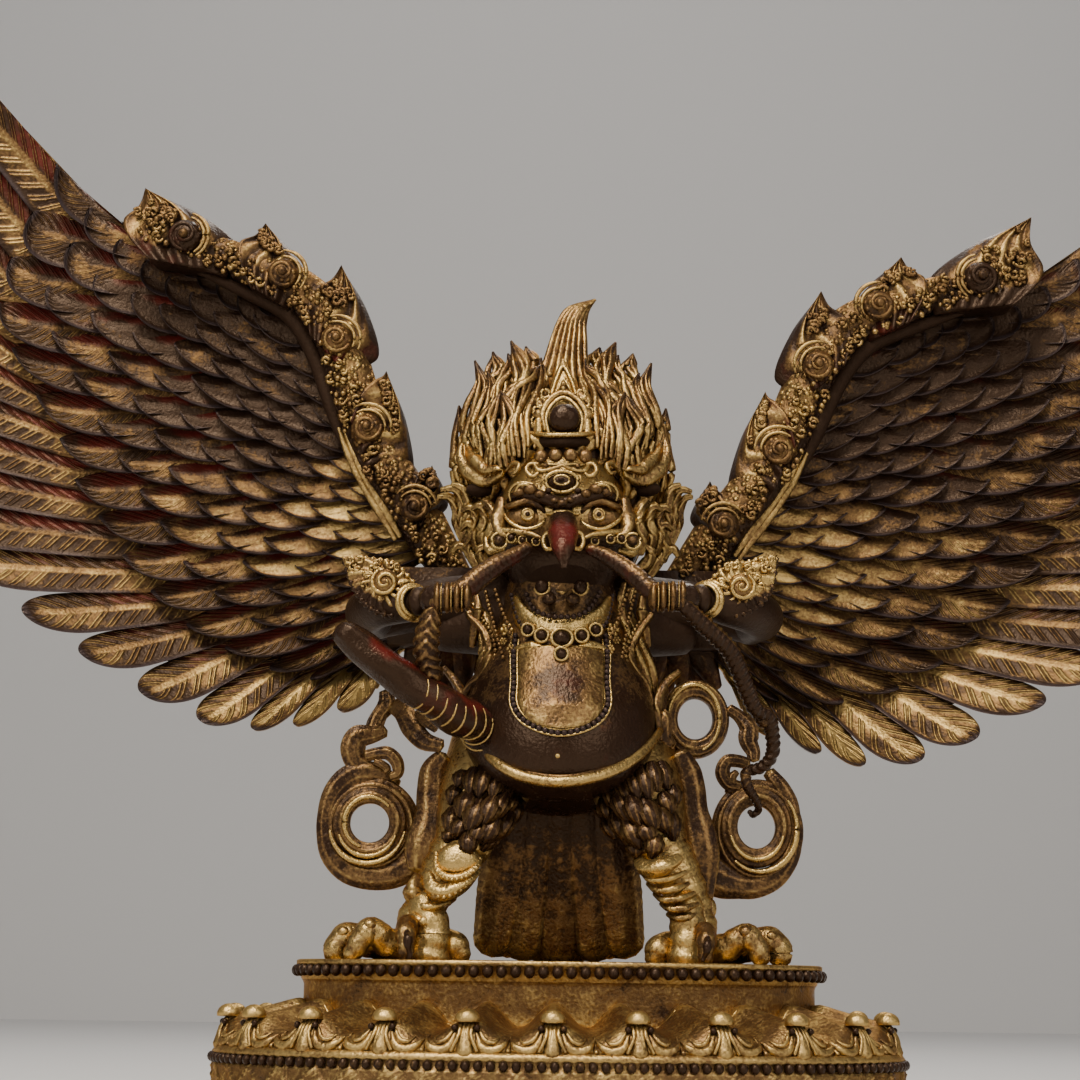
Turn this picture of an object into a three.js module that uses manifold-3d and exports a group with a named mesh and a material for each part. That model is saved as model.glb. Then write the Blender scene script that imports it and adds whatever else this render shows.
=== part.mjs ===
// Garuda standing on an oval pedestal with both wings raised, a gilt and lacquered bronze.
// Millimetres, +X to the viewer's right, -Y towards the viewer, +Z up, origin at the middle of the underside.
import * as THREE from "three";
import { mergeVertices } from "three/addons/utils/BufferGeometryUtils.js";
import Module from "manifold-3d";

// Driving dimensions
const figureHeight = 168; // from the pedestal's top to the tip of the flame
const wingReach = 151; // length that the wing's shape is drawn in
const wingAxisOut = 36; // the wing's own zero, out from the middle plane
const wingAxisUp = 100; // the wing's own zero, above the pedestal's top
const wingAxisBack = 18; // the wing's root, behind the middle plane
const rightWingDroop = 4.5; // degrees that the viewer's right wing hangs lower
const rightWingDrop = 3.2; // how much lower that wing is set
const rightWingOut = 1.2; // how much further out it is set
const rightTopLeaf = [52.5, 72]; // tip of its last leaf, in hundredths of the reach
const wingThickness = 2.4; // bare wall of the feathered sheet
const wingDish = 7; // how far the sheet falls back between band and tips
const tipForward = 6; // how far the tips come forward again
const featherLift = 1.7; // step from the tip of a feather down to the next row
const lugOut = 19; // where the wings meet the body's lugs, from the middle plane
const lugWidth = 15; // front to back
const lugHeight = 20;
const lugUp = 80; // underside of the lugs above the pedestal's top
const tangLength = 26; // how far a wing's own tang reaches out from the joint
const seat = 0.3; // clearance between pieces that touch

const pedestalHeight = 48;
const depthStep = 27; // how much less the plan measures from the middle to the front than to the side
const topHalfWidth = 64.2;
const drumHalfWidth = 62.3;
const cushionHalfWidth = 82.4;
const lowerBeadHalfWidth = 85;
const latticeHalfWidth = 83.4;
const waistHalfWidth = 80.5;
const footHalfWidth = 87;
const upperBeadRadius = 1.7;
const lowerBeadRadius = 1.3;
const plateThickness = 1.2;
const footHeight = 5;
const waistHeight = 10;
const baseMouldingHeight = 3;
const latticeHeight = 5.6;
const filletHeight = 1.8;
const cushionHeight = 10.4;
const cuspDrop = 5.6; // how far the cushion dips between two petals
const petalCount = 23;
const petalTurn = 2.6; // steps of the petals' ring by which it is turned, so that one petal faces the viewer
const bossRadius = 2.3;

const planPower = 2.3; // 2 is an ellipse, more is squarer
const planSegments = 24;
const planSamples = 3600; // steps round the plan when its length is measured
const sliver = 0.08; // edges left by joining that are shorter than this are drawn together

const wasm = await Module();
wasm.setup();

const vec = (x, y, z) => new THREE.Vector3(x, y, z);
const mix = (from, to, share) => from + (to - from) * share;

// Turns a closed geometry into a solid, with its faces turned outwards
function solid(geometry) {
  const bare = geometry.clone();
  for (const name of Object.keys(bare.attributes)) {
    if (name !== "position") {
      bare.deleteAttribute(name);
    }
  }
  const merged = mergeVertices(bare, 1e-4);
  const triVerts = new Uint32Array(merged.index.array);
  const vertProperties = new Float32Array(merged.attributes.position.array);
  if (volumeOf(vertProperties, triVerts) < 0) {
    triVerts.reverse();
  }
  return new wasm.Manifold(new wasm.Mesh({ numProp: 3, vertProperties, triVerts }));
}

function volumeOf(points, corners) {
  const at = (index) => new THREE.Vector3().fromArray(points, 3 * index);
  let sum = 0;
  for (let i = 0; i < corners.length; i += 3) {
    sum += at(corners[i]).dot(at(corners[i + 1]).cross(at(corners[i + 2])));
  }
  return sum / 6;
}

// Joins solids and fills the pockets that are sealed in between them
function joined(solids) {
  const whole = solids.reduce((sum, piece) => sum.add(piece));
  const { vertProperties, triVerts } = whole.getMesh();
  const parent = Array.from({ length: vertProperties.length / 3 }, (_, i) => i);
  const root = (i) => {
    let top = i;
    while (parent[top] !== top) {
      parent[top] = parent[parent[top]];
      top = parent[top];
    }
    return top;
  };
  for (let i = 0; i < triVerts.length; i += 3) {
    parent[root(triVerts[i + 1])] = root(triVerts[i]);
    parent[root(triVerts[i + 2])] = root(triVerts[i]);
  }
  const shells = new Map();
  for (let i = 0; i < triVerts.length; i += 3) {
    const shell = root(triVerts[i]);
    shells.set(shell, [...(shells.get(shell) ?? []), ...triVerts.subarray(i, i + 3)]);
  }
  const kept = [...shells.values()].filter((shell) => volumeOf(vertProperties, shell) > 0);
  const mesh = new wasm.Mesh({ numProp: 3, vertProperties, triVerts: new Uint32Array(kept.flat()) });
  return new wasm.Manifold(mesh);
}

function namedMesh(name, body, colour, roughness, metalness) {
  const { vertProperties, triVerts } = body.simplify(sliver).getMesh();
  const geometry = new THREE.BufferGeometry();
  geometry.setAttribute("position", new THREE.BufferAttribute(vertProperties, 3));
  geometry.setIndex(new THREE.BufferAttribute(triVerts, 1));
  geometry.computeVertexNormals();
  const material = new THREE.MeshStandardMaterial({ color: colour, roughness, metalness });
  const mesh = new THREE.Mesh(geometry, material);
  mesh.name = name;
  return mesh;
}

// Closed surface through rings of points; a ring of one point is a pole, and open ends get a flat cap
function loft(rings) {
  const middle = (ring) => ring.reduce((sum, p) => sum.add(p), vec(0, 0, 0)).divideScalar(ring.length);
  const all = [...rings];
  if (all[0].length > 1) {
    all.unshift([middle(all[0])]);
  }
  if (all[all.length - 1].length > 1) {
    all.push([middle(all[all.length - 1])]);
  }
  const points = [];
  const starts = all.map((ring) => points.push(...ring) - ring.length);
  const faces = [];
  for (let i = 0; i + 1 < all.length; i += 1) {
    const count = Math.max(all[i].length, all[i + 1].length);
    for (let j = 0; j < count; j += 1) {
      const next = (j + 1) % count;
      const low = (k) => starts[i] + (all[i].length > 1 ? k : 0);
      const high = (k) => starts[i + 1] + (all[i + 1].length > 1 ? k : 0);
      if (all[i].length > 1) {
        faces.push(low(j), low(next), high(j));
      }
      if (all[i + 1].length > 1) {
        faces.push(low(next), high(next), high(j));
      }
    }
  }
  return closedGeometry(points, faces);
}

function closedGeometry(points, faces) {
  const geometry = new THREE.BufferGeometry();
  geometry.setFromPoints(points);
  geometry.setIndex(faces);
  return geometry;
}

// Value of a list at a share of its length, straight between its entries
function along(list, share) {
  const place = share * (list.length - 1);
  const index = Math.min(Math.floor(place), list.length - 2);
  return mix(list[index], list[index + 1], place - index);
}

// Rounded limb along a smooth path: radii across, and flatness as the other radius over the first
function limb(path, radii, { sides = 6, steps = 4, flat = 1, across = vec(0, 0, 1) } = {}) {
  const curve = new THREE.CatmullRomCurve3(path, false, "centripetal");
  const rings = [];
  for (let i = 0; i <= steps; i += 1) {
    const share = i / steps;
    const centre = curve.getPointAt(share);
    const tangent = curve.getTangentAt(share);
    const first = across.clone().addScaledVector(tangent, -across.dot(tangent)).normalize();
    const second = tangent.clone().cross(first);
    const radius = along(radii, share);
    const ring = [];
    for (let j = 0; j < sides; j += 1) {
      const angle = (2 * Math.PI * j) / sides;
      const out = first.clone().multiplyScalar(radius * Math.cos(angle));
      ring.push(centre.clone().add(out).addScaledVector(second, radius * flat * Math.sin(angle)));
    }
    rings.push(ring);
  }
  return solid(loft(rings));
}

function ellipsoid(centre, rx, ry, rz, around = 8, down = 6) {
  const geometry = new THREE.SphereGeometry(1, around, down);
  geometry.scale(rx, ry, rz).translate(centre.x, centre.y, centre.z);
  return solid(geometry);
}

function block(low, high) {
  const size = high.clone().sub(low);
  const geometry = new THREE.BoxGeometry(size.x, size.y, size.z);
  const centre = low.clone().add(high).divideScalar(2);
  geometry.translate(centre.x, centre.y, centre.z);
  return solid(geometry);
}

// Pedestal

// Point of the oval plan at an angle
function planPoint(halfWidth, angle, height) {
  const round = (value) => Math.sign(value) * Math.abs(value) ** (2 / planPower);
  return vec(halfWidth * round(Math.cos(angle)), (halfWidth - depthStep) * round(Math.sin(angle)), height);
}

// Angles at which the cushion's edge is divided into equal lengths, found on a finely divided edge
function evenAngles(count, start) {
  const fine = Array.from({ length: planSamples + 1 }, (_, i) => (2 * Math.PI * i) / planSamples);
  const points = fine.map((angle) => planPoint(cushionHalfWidth, angle, 0));
  const lengths = [0];
  for (let i = 0; i < planSamples; i += 1) {
    lengths.push(lengths[i] + points[i].distanceTo(points[i + 1]));
  }
  return Array.from({ length: count }, (_, i) => {
    const goal = (lengths[planSamples] * (i + start)) / count;
    return fine[lengths.findIndex((length) => length >= goal % lengths[planSamples])];
  });
}

// One ring of the oval plan, with an offset that may change around it
function planRing(halfWidth, height, segments, offset = () => [0, 0], start = 0) {
  return evenAngles(segments, start).map((angle, i) => {
    const [out, up] = offset(i);
    return planPoint(halfWidth + out, angle, height + up);
  });
}

const upperBeadHeight = pedestalHeight - plateThickness - upperBeadRadius;
const baseMouldingBottom = footHeight + waistHeight;
const latticeBottom = baseMouldingBottom + baseMouldingHeight;
const lowerBeadHeight = latticeBottom + latticeHeight + lowerBeadRadius;
const filletBottom = lowerBeadHeight + lowerBeadRadius;
const cushionBottom = filletBottom + filletHeight;

function pedestalBody() {
  const roll = 0.7; // share of a bead's radius at the edge of its row
  const profile = [
    [footHalfWidth, 0],
    [footHalfWidth, footHeight * 0.6],
    [waistHalfWidth, footHeight + waistHeight * 0.3],
    [waistHalfWidth, baseMouldingBottom],
    [latticeHalfWidth + 1.4, baseMouldingBottom + baseMouldingHeight * 0.5],
    [latticeHalfWidth, latticeBottom],
    [latticeHalfWidth, latticeBottom + latticeHeight],
    [lowerBeadHalfWidth + lowerBeadRadius * roll, lowerBeadHeight],
    [latticeHalfWidth, filletBottom],
    [latticeHalfWidth - 1, cushionBottom],
  ];
  return solid(loft(profile.map(([halfWidth, height]) => planRing(halfWidth, height, planSegments))));
}

// Plain drum in the middle of the petals, with the beaded rim and the top plate that the feet stand on
function drum() {
  const profile = [
    [drumHalfWidth, cushionBottom - 1],
    [drumHalfWidth, upperBeadHeight - upperBeadRadius],
    [topHalfWidth + upperBeadRadius, upperBeadHeight],
    [topHalfWidth, pedestalHeight - plateThickness],
    [topHalfWidth, pedestalHeight],
  ];
  return solid(loft(profile.map(([halfWidth, height]) => planRing(halfWidth, height, planSegments))));
}

// Row of domed petals around the drum: each has a cusp, a shoulder, a boss and a shoulder
function petalCushion() {
  const columns = 4;
  const slope = [
    { halfWidth: cushionHalfWidth - 0.8, rise: -0.02, dip: 0, pull: 0.6, boss: 0 },
    { halfWidth: cushionHalfWidth - 1.8, rise: 0.64, dip: 0.5, pull: 1.8, boss: 1 },
    { halfWidth: drumHalfWidth - 1, rise: 1, dip: 1, pull: 0, boss: 0 },
  ];
  const ring = ({ halfWidth, rise, dip, pull, boss }) => {
    const offset = (i) => {
      const place = i % columns;
      if (place === 0) {
        return [-pull, -cuspDrop * dip];
      }
      return place === 2 ? [bossRadius * boss, 0] : [0, 0];
    };
    return planRing(halfWidth, cushionBottom + cushionHeight * rise, petalCount * columns, offset, petalTurn);
  };
  return solid(loft(slope.map(ring)));
}

const pedestal = joined([pedestalBody(), petalCushion(), drum()]);

// Figure, in hundredths of its own height above the pedestal's top

const unit = figureHeight / 100;
const ground = pedestalHeight + seat;
const at = (x, y, z) => vec(x * unit, y * unit, ground + z * unit);
const grown = (radii) => radii.map((radius) => radius * unit);
const bulb = (x, y, z, rx, ry, rz, around, down) =>
  ellipsoid(at(x, y, z), rx * unit, ry * unit, rz * unit, around, down);
const strand = (path, radii, options) => limb(path.map((p) => at(...p)), grown(radii), options);
const bothSides = (make) => [-1, 1].map(make);
const sideways = { across: vec(1, 0, 0) };

// Belly, chest and neck as a stack of ovals: height, middle in y, half width, half depth
function torso() {
  const sections = [
    [23.6, -11, 6.4, 5],
    [25.4, -9, 10.8, 9],
    [29.4, -7.2, 13.4, 11.4],
    [35.4, -5.6, 14.3, 12.1],
    [41, -4.4, 13, 10.8],
    [47, -3.2, 10.4, 9],
    [54, -3, 8.6, 7.8],
  ];
  return [
    ovalStack(sections, 10),
    bulb(0, 0.5, 28.5, 12.5, 8.5, 7.5, 7, 4),
    bulb(0, 4.6, 52, 10.6, 7, 8.5, 7, 4),
    strand([[-13.2, -7, 29.6], [-9.5, -15.4, 25.7], [0, -18.8, 23.9], [9.7, -15.4, 26.2], [13.6, -7, 31.6]],
      [0.9, 1.1, 0.9], { sides: 4, steps: 5 }),
  ];
}

function ovalStack(sections, sides) {
  const rings = sections.map(([z, y, rx, ry]) => {
    const angles = Array.from({ length: sides }, (_, i) => (2 * Math.PI * i) / sides);
    return angles.map((angle) => at(rx * Math.cos(angle), y + ry * Math.sin(angle), z));
  });
  return solid(loft(rings));
}

// Bib on the belly and the necklace
function dress() {
  return [
    strand([[0, -11.8, 45], [0, -14, 40], [0, -15.6, 35], [0, -15.8, 31]], [6, 7.6, 7.6, 5],
      { sides: 6, steps: 3, flat: 0.36, ...sideways }),
    strand([[-6.8, -9.8, 50], [-4.4, -12.4, 46.6], [0, -14, 44.8], [4.4, -12.4, 46.6], [6.8, -9.8, 50]],
      [0.9, 1.5, 0.9], { sides: 4, steps: 4 }),
  ];
}

function face() {
  return [
    bulb(0, -8, 62, 10, 9, 8, 8, 5),
    strand([[-9.2, -11.5, 66.8], [-4.4, -16, 66.6], [-0.3, -16.4, 65.6], [4, -16, 66.6], [8.8, -11.5, 66.8]],
      [0.9, 1.9, 1.4, 1.9, 0.9], { sides: 4, steps: 6 }),
    bulb(-0.4, -14, 68.8, 2.3, 1.9, 1.6, 6, 3),
    strand([[-0.3, -14, 62.4], [-0.3, -18.6, 61.4], [-0.4, -21.2, 58.4], [-0.4, -21.6, 54.6]],
      [2.6, 2.9, 2.2, 0.4], { sides: 5, steps: 4, ...sideways }),
    bulb(-0.2, -10.5, 55.6, 6.4, 5.4, 4.6, 6, 4),
    ...bothSides((s) => bulb(s * 5.2, -14.6, 63.3, 2.3, 1.9, 1.8, 5, 4)),
    ...bothSides((s) => bulb(s * 4, -16.6, 60, 1.7, 1.9, 1.4, 5, 3)),
    ...bothSides((s) =>
      strand([[s * 15.4, -3, 76], [s * 15, -6.5, 71.5], [s * 11.6, -9.5, 69.4]], [1.2, 2.7, 1.8],
        { sides: 5, steps: 2 })),
  ];
}

// Hair swept up into flames: tip and root of each lock, with its radius at the root
function flames() {
  const pairs = [
    [[8, -2, 93.5], [6.2, -4, 80], 2.9],
    [[13.6, -1, 90.2], [10.7, -3, 78], 2.9],
    [[16.3, -1, 83.2], [13.7, -3, 71], 2.7],
    [[18.1, -4, 70.5], [9, -4, 60], 3.1],
    [[7.6, 6, 88], [7, 3, 72], 4],
  ];
  const mirrored = pairs.flatMap(([tip, root, radius]) =>
    bothSides((s) => [[s * tip[0], tip[1], tip[2]], [s * root[0], root[1], root[2]], radius]));
  const locks = [[[3.5, -1.2, 100], [-0.8, -3, 82], 4.8], ...mirrored];
  const bend = 0.09; // how far a lock bows inwards before it curls out to its tip
  const hair = [
    [54, 1, 7.6, 6],
    [60, 1, 11, 8],
    [67, 0.4, 14.6, 10],
    [74, -0.4, 15.6, 11.4],
    [80, -0.2, 14.4, 10.4],
    [85, 0.6, 10.6, 8],
    [88.6, 1, 4.6, 4.4],
  ];
  return [
    ovalStack(hair, 9),
    ...locks.map(([tip, root, radius]) => {
      const middle = root.map((value, axis) => mix(value, tip[axis], 0.6));
      middle[0] -= bend * (tip[2] - root[2]) * Math.sign(tip[0]);
      return strand([root, middle, tip], [radius, radius * 0.7, 0.3],
        { sides: 4, steps: 2, flat: 0.75, ...sideways });
    }),
  ];
}

// Diadem over the forehead: band, shelf, jewel and finial
function diadem() {
  return [
    strand([[-6.6, -11.4, 72.4], [-0.4, -14.6, 72.6], [5.8, -11.4, 72.4]], [1.5, 1.6, 1.5], { sides: 4, steps: 3 }),
    block(at(-4.8, -13.8, 74.4), at(4, -8, 76)),
    bulb(-0.5, -12, 79.2, 2.6, 2.3, 3, 6, 4),
    strand([[-0.5, -10.2, 78.6], [-0.5, -9.4, 83], [-0.5, -8, 87.4]], [4.2, 2.4, 0.3],
      { sides: 4, steps: 2, flat: 0.5, ...sideways }),
  ];
}

// Arms bent forwards to the fists, with flared cuffs and a leaf over each forearm
function arms() {
  const fists = { [-1]: [-16.9, -21.6, 49.8], [1]: [16, -21.6, 50.4] };
  const halfFist = 2.9;
  return bothSides((s) => {
    const [x, y, z] = fists[s];
    return joined([
      strand([[s * 10, 1, 54], [s * 21, 1, 53.4], [s * 29.6, -3, 50.2]], [4.6, 3.9, 3.2], { sides: 5, steps: 2 }),
      strand([[s * 29.8, -2, 50.2], [s * 29, -12, 50.2], [s * 22, -19.4, z]], [3.2, 3.3, 2.4], { sides: 5, steps: 3 }),
      strand([[s * 26, -15.6, z + 0.2], [s * 20.6, -20.4, z]], [2.2, 3.3], { sides: 6, steps: 1 }),
      strand([[s * 22.4, -18.8, z + 1.4], [s * 27, -17.4, z + 3.4], [s * 32.2, -14.6, z + 6.4]], [2.6, 3.6, 0.4],
        { sides: 4, steps: 2, flat: 0.45 }),
      strand([[x - halfFist, y, z], [x + halfFist, y, z]], [2.1, 2.9, 2.2, 2.9, 2.2, 2.9, 2.1],
        { sides: 4, steps: 6 }),
    ]);
  });
}

// Snake held in the beak and both fists, with its thick end to the left and its tail to the right
function snake() {
  const forwards = { across: vec(0, 1, 0) };
  return [
    strand([[0, -19.6, 58.2], [-5.2, -19, 57.2], [-10, -20, 54.2], [-14.6, -21.4, 50.8], [-17.2, -21.6, 49.8],
      [-19.4, -21.4, 47.6], [-19.8, -20, 43], [-19, -18.4, 37.4]], [1.9, 2.1, 2.1, 2.1, 1.7, 1.7, 1.7],
    { sides: 5, steps: 7, ...forwards }),
    strand([[-29.4, -20.4, 43.2], [-24, -20.2, 40.4], [-18, -19.2, 36.6], [-12.6, -15.4, 30.6]],
      [1.5, 2.7, 2.9, 3, 3], { sides: 6, steps: 3, ...forwards }),
    strand([[-0.6, -19.6, 58.2], [4.6, -19, 57.2], [9.4, -20, 54.4], [13.6, -21.2, 51.4], [16, -21.4, 50.6],
      [18, -20.8, 49.2], [23.4, -18.4, 42.2], [27.2, -15.6, 35.4], [29.6, -12.4, 31], [29.4, -9.4, 28.4],
      [27.4, -8, 26.4], [27.8, -6.8, 23.6], [27, -5.6, 22.2]],
    [1.9, 2.1, 2, 1.8, 1.6, 1.6, 1.5, 1.3, 1.1, 0.6], { sides: 4, steps: 13, ...forwards }),
  ];
}

// Ring of a scarf, standing in the plane of the wings
function scarfRing(x, y, z, radius, tube, stretch) {
  const geometry = new THREE.TorusGeometry(radius * unit, tube * unit, 4, 10);
  geometry.rotateX(Math.PI / 2).scale(1, 0.8, stretch);
  const centre = at(x, y, z);
  geometry.translate(centre.x, centre.y, centre.z);
  return solid(geometry);
}

// Scarf ends that curl beside the hips, ring round beside the knees and run down the thighs
function scarves() {
  const fold = (path, radii, steps = 2) => strand(path, radii, { sides: 4, steps, across: vec(0, 1, 0) });
  return [
    fold([[-20, 4, 44], [-25.4, 2, 37.6], [-27.6, 0, 34], [-30.8, -1, 30.4], [-29.6, -1, 25]], [1.3, 1.5, 1.9], 5),
    bulb(-26, -1, 27, 3, 1.6, 2.4, 6, 4),
    scarfRing(-28.2, -1, 19.4, 5.1, 2.1, 1.04),
    fold([[-27.6, -1, 13.4], [-23.6, -1.4, 15], [-19.6, -2.4, 18]], [2.2, 2.4, 2.2], 2),
    fold([[-17, -3, 31], [-18.8, -3, 24], [-18, -4, 16.4], [-19.6, -5, 9.4]], [2, 2, 2.1, 1.4]),
    fold([[-22, 3, 39], [-23.4, 1, 32], [-17.4, -1, 29.8]], [1.4, 1.6, 1.6]),
    scarfRing(20, 0, 35.6, 3.9, 1.8, 1.14),
    fold([[24, 1, 37.6], [27.4, 0, 33], [28.4, -1, 29.6], [27.4, -1, 24]], [1.3, 1.5, 1.8], 4),
    bulb(25.4, -1, 26.4, 3, 1.6, 2.6, 6, 4),
    scarfRing(29.2, -1, 18, 4.6, 2, 1.26),
    fold([[29, -1, 11.4], [24, -1.4, 12.4], [20.4, -2.4, 16.6]], [2.1, 2.2, 2.2], 2),
    fold([[17.6, -3, 31], [18.8, -3, 23], [18.8, -4, 15.4], [19.6, -5, 9.4]], [2, 2, 2.1, 1.4]),
  ];
}

// Legs: feathered thigh, knee pad, shank and toes with a hooked claw
function legs() {
  const ankles = { [-1]: -20.6, [1]: 19.5 };
  return bothSides((s) => {
    const x = ankles[s];
    const toe = (path, radii) =>
      strand(path.map(([dx, y, z]) => [x + s * dx, y, z]), radii, { sides: 4, steps: path.length - 1 });
    return joined([
      strand([[s * 9.6, -1, 30], [s * 12, -5, 23.6], [s * 13.8, -7.6, 17]], [7.6, 6.4, 4.5], { sides: 6, steps: 2 }),
      strand([[s * 13.8, -7.6, 17], [s * 17.6, -8, 10.6], [x, -8.6, 5.4], [x, -9.6, -0.6]], [4.4, 3.4, 2.9, 3.1],
        { sides: 5, steps: 3 }),
      bulb(s * 14, -11, 16, 3.6, 2.1, 3.2, 6, 3),
      toe([[0, -10.4, 2.6], [0, -13.6, 3.6], [0, -16.4, 0.9]], [2.2, 2.1, 0.9]),
      toe([[1.6, -9.6, 2.6], [6, -11, 3.6], [11.2, -12.4, 1.4]], [2.3, 2.6, 1.7]),
      toe([[1.6, -7, 2.6], [6.4, -6.6, 3.6], [11.8, -6, 1.6]], [2.3, 2.6, 1.8]),
      toe([[-1.6, -9.4, 2.2], [-5, -10.2, 1.8]], [2.2, 2.2]),
      toe([[0, -7, 2.2], [0, -1.4, 1.2]], [2.2, 1.8]),
    ]);
  });
}

// Tail: long feathers fanned behind the legs down to the pedestal
function tail() {
  return [-2, -1, 0, 1, 2].map((i) => {
    const out = Math.abs(i);
    const foot = -0.4 + 1.3 * out;
    return strand([[i * 2.4, 4, 32], [i * 3.5, 8.4, 22], [i * 4.5, 11.2 - 0.3 * out, 11], [i * 5, 13 - 0.5 * out, foot]],
      [3, 3.4, 3.6, 2], { sides: 4, steps: 2, flat: 0.4, ...sideways });
  });
}

// One half of the joint where a wing's tang butts against the lug on the back, from one x to another
function jointBlock(from, to) {
  const low = ground + lugUp;
  return block(
    vec(Math.min(from, to), wingAxisBack - lugWidth / 2, low),
    vec(Math.max(from, to), wingAxisBack + lugWidth / 2, low + lugHeight),
  );
}

const lugs = jointBlock(-(lugOut - seat / 2), lugOut - seat / 2);
const aboveGround = block(
  vec(-figureHeight, -figureHeight, ground),
  vec(figureHeight, figureHeight, ground + 2 * figureHeight),
);
const figure = joined([
  ...torso(), ...dress(), ...face(), ...flames(), ...diadem(), ...arms(), ...snake(), ...scarves(), ...legs(),
  ...tail(), lugs,
]).intersect(aboveGround);

// Wings, in hundredths of their reach: out from the shoulder and up

// Where the feathers start under the band, where the long feathers leave the last short row, and their tips
const innerEdge = [[4.4, -14], [3.8, -4], [5, 7], [9, 19], [14.6, 32.4], [26, 47.4], [54, 61.6]];
const covertEdge = [[7, -15.8], [22, -17.4], [42.7, -8], [56.5, 8.7], [67.2, 27.2], [77.5, 49.4], [68, 74]];
const tipEdge = [[9, -24], [32, -28.4], [62.7, -13], [95.1, 13], [104.8, 41.9], [102.1, 75.2], [83, 90]];
const bandLine = [[-5, -1], [2, 10.4], [7.8, 19], [12, 28], [16, 39.6], [22, 49], [34.3, 55.5], [47, 61], [55, 64.6]];
const leafTips = [[-0.8, 18.5], [7.6, 35.4], [16.1, 54.7], [29.8, 62.3], [51.5, 68.6]];
const bossSpots = [[2, 10.4], [10.6, 24.5], [16.4, 40.4], [26.2, 52.3], [43.8, 59]];
const rowSteps = [15, 14.2, 13.4, 12.6]; // lengths of the short feathers shown, from the last row in
const longFeathers = 18;

const plane = (list) => new THREE.CatmullRomCurve3(list.map(([u, v]) => vec(u, 0, v)), false, "centripetal");
const curves = [innerEdge, covertEdge, tipEdge].map(plane);
const onCurve = (curve, share) => curve.getPoint(share).multiplyScalar(wingReach / 100);

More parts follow.
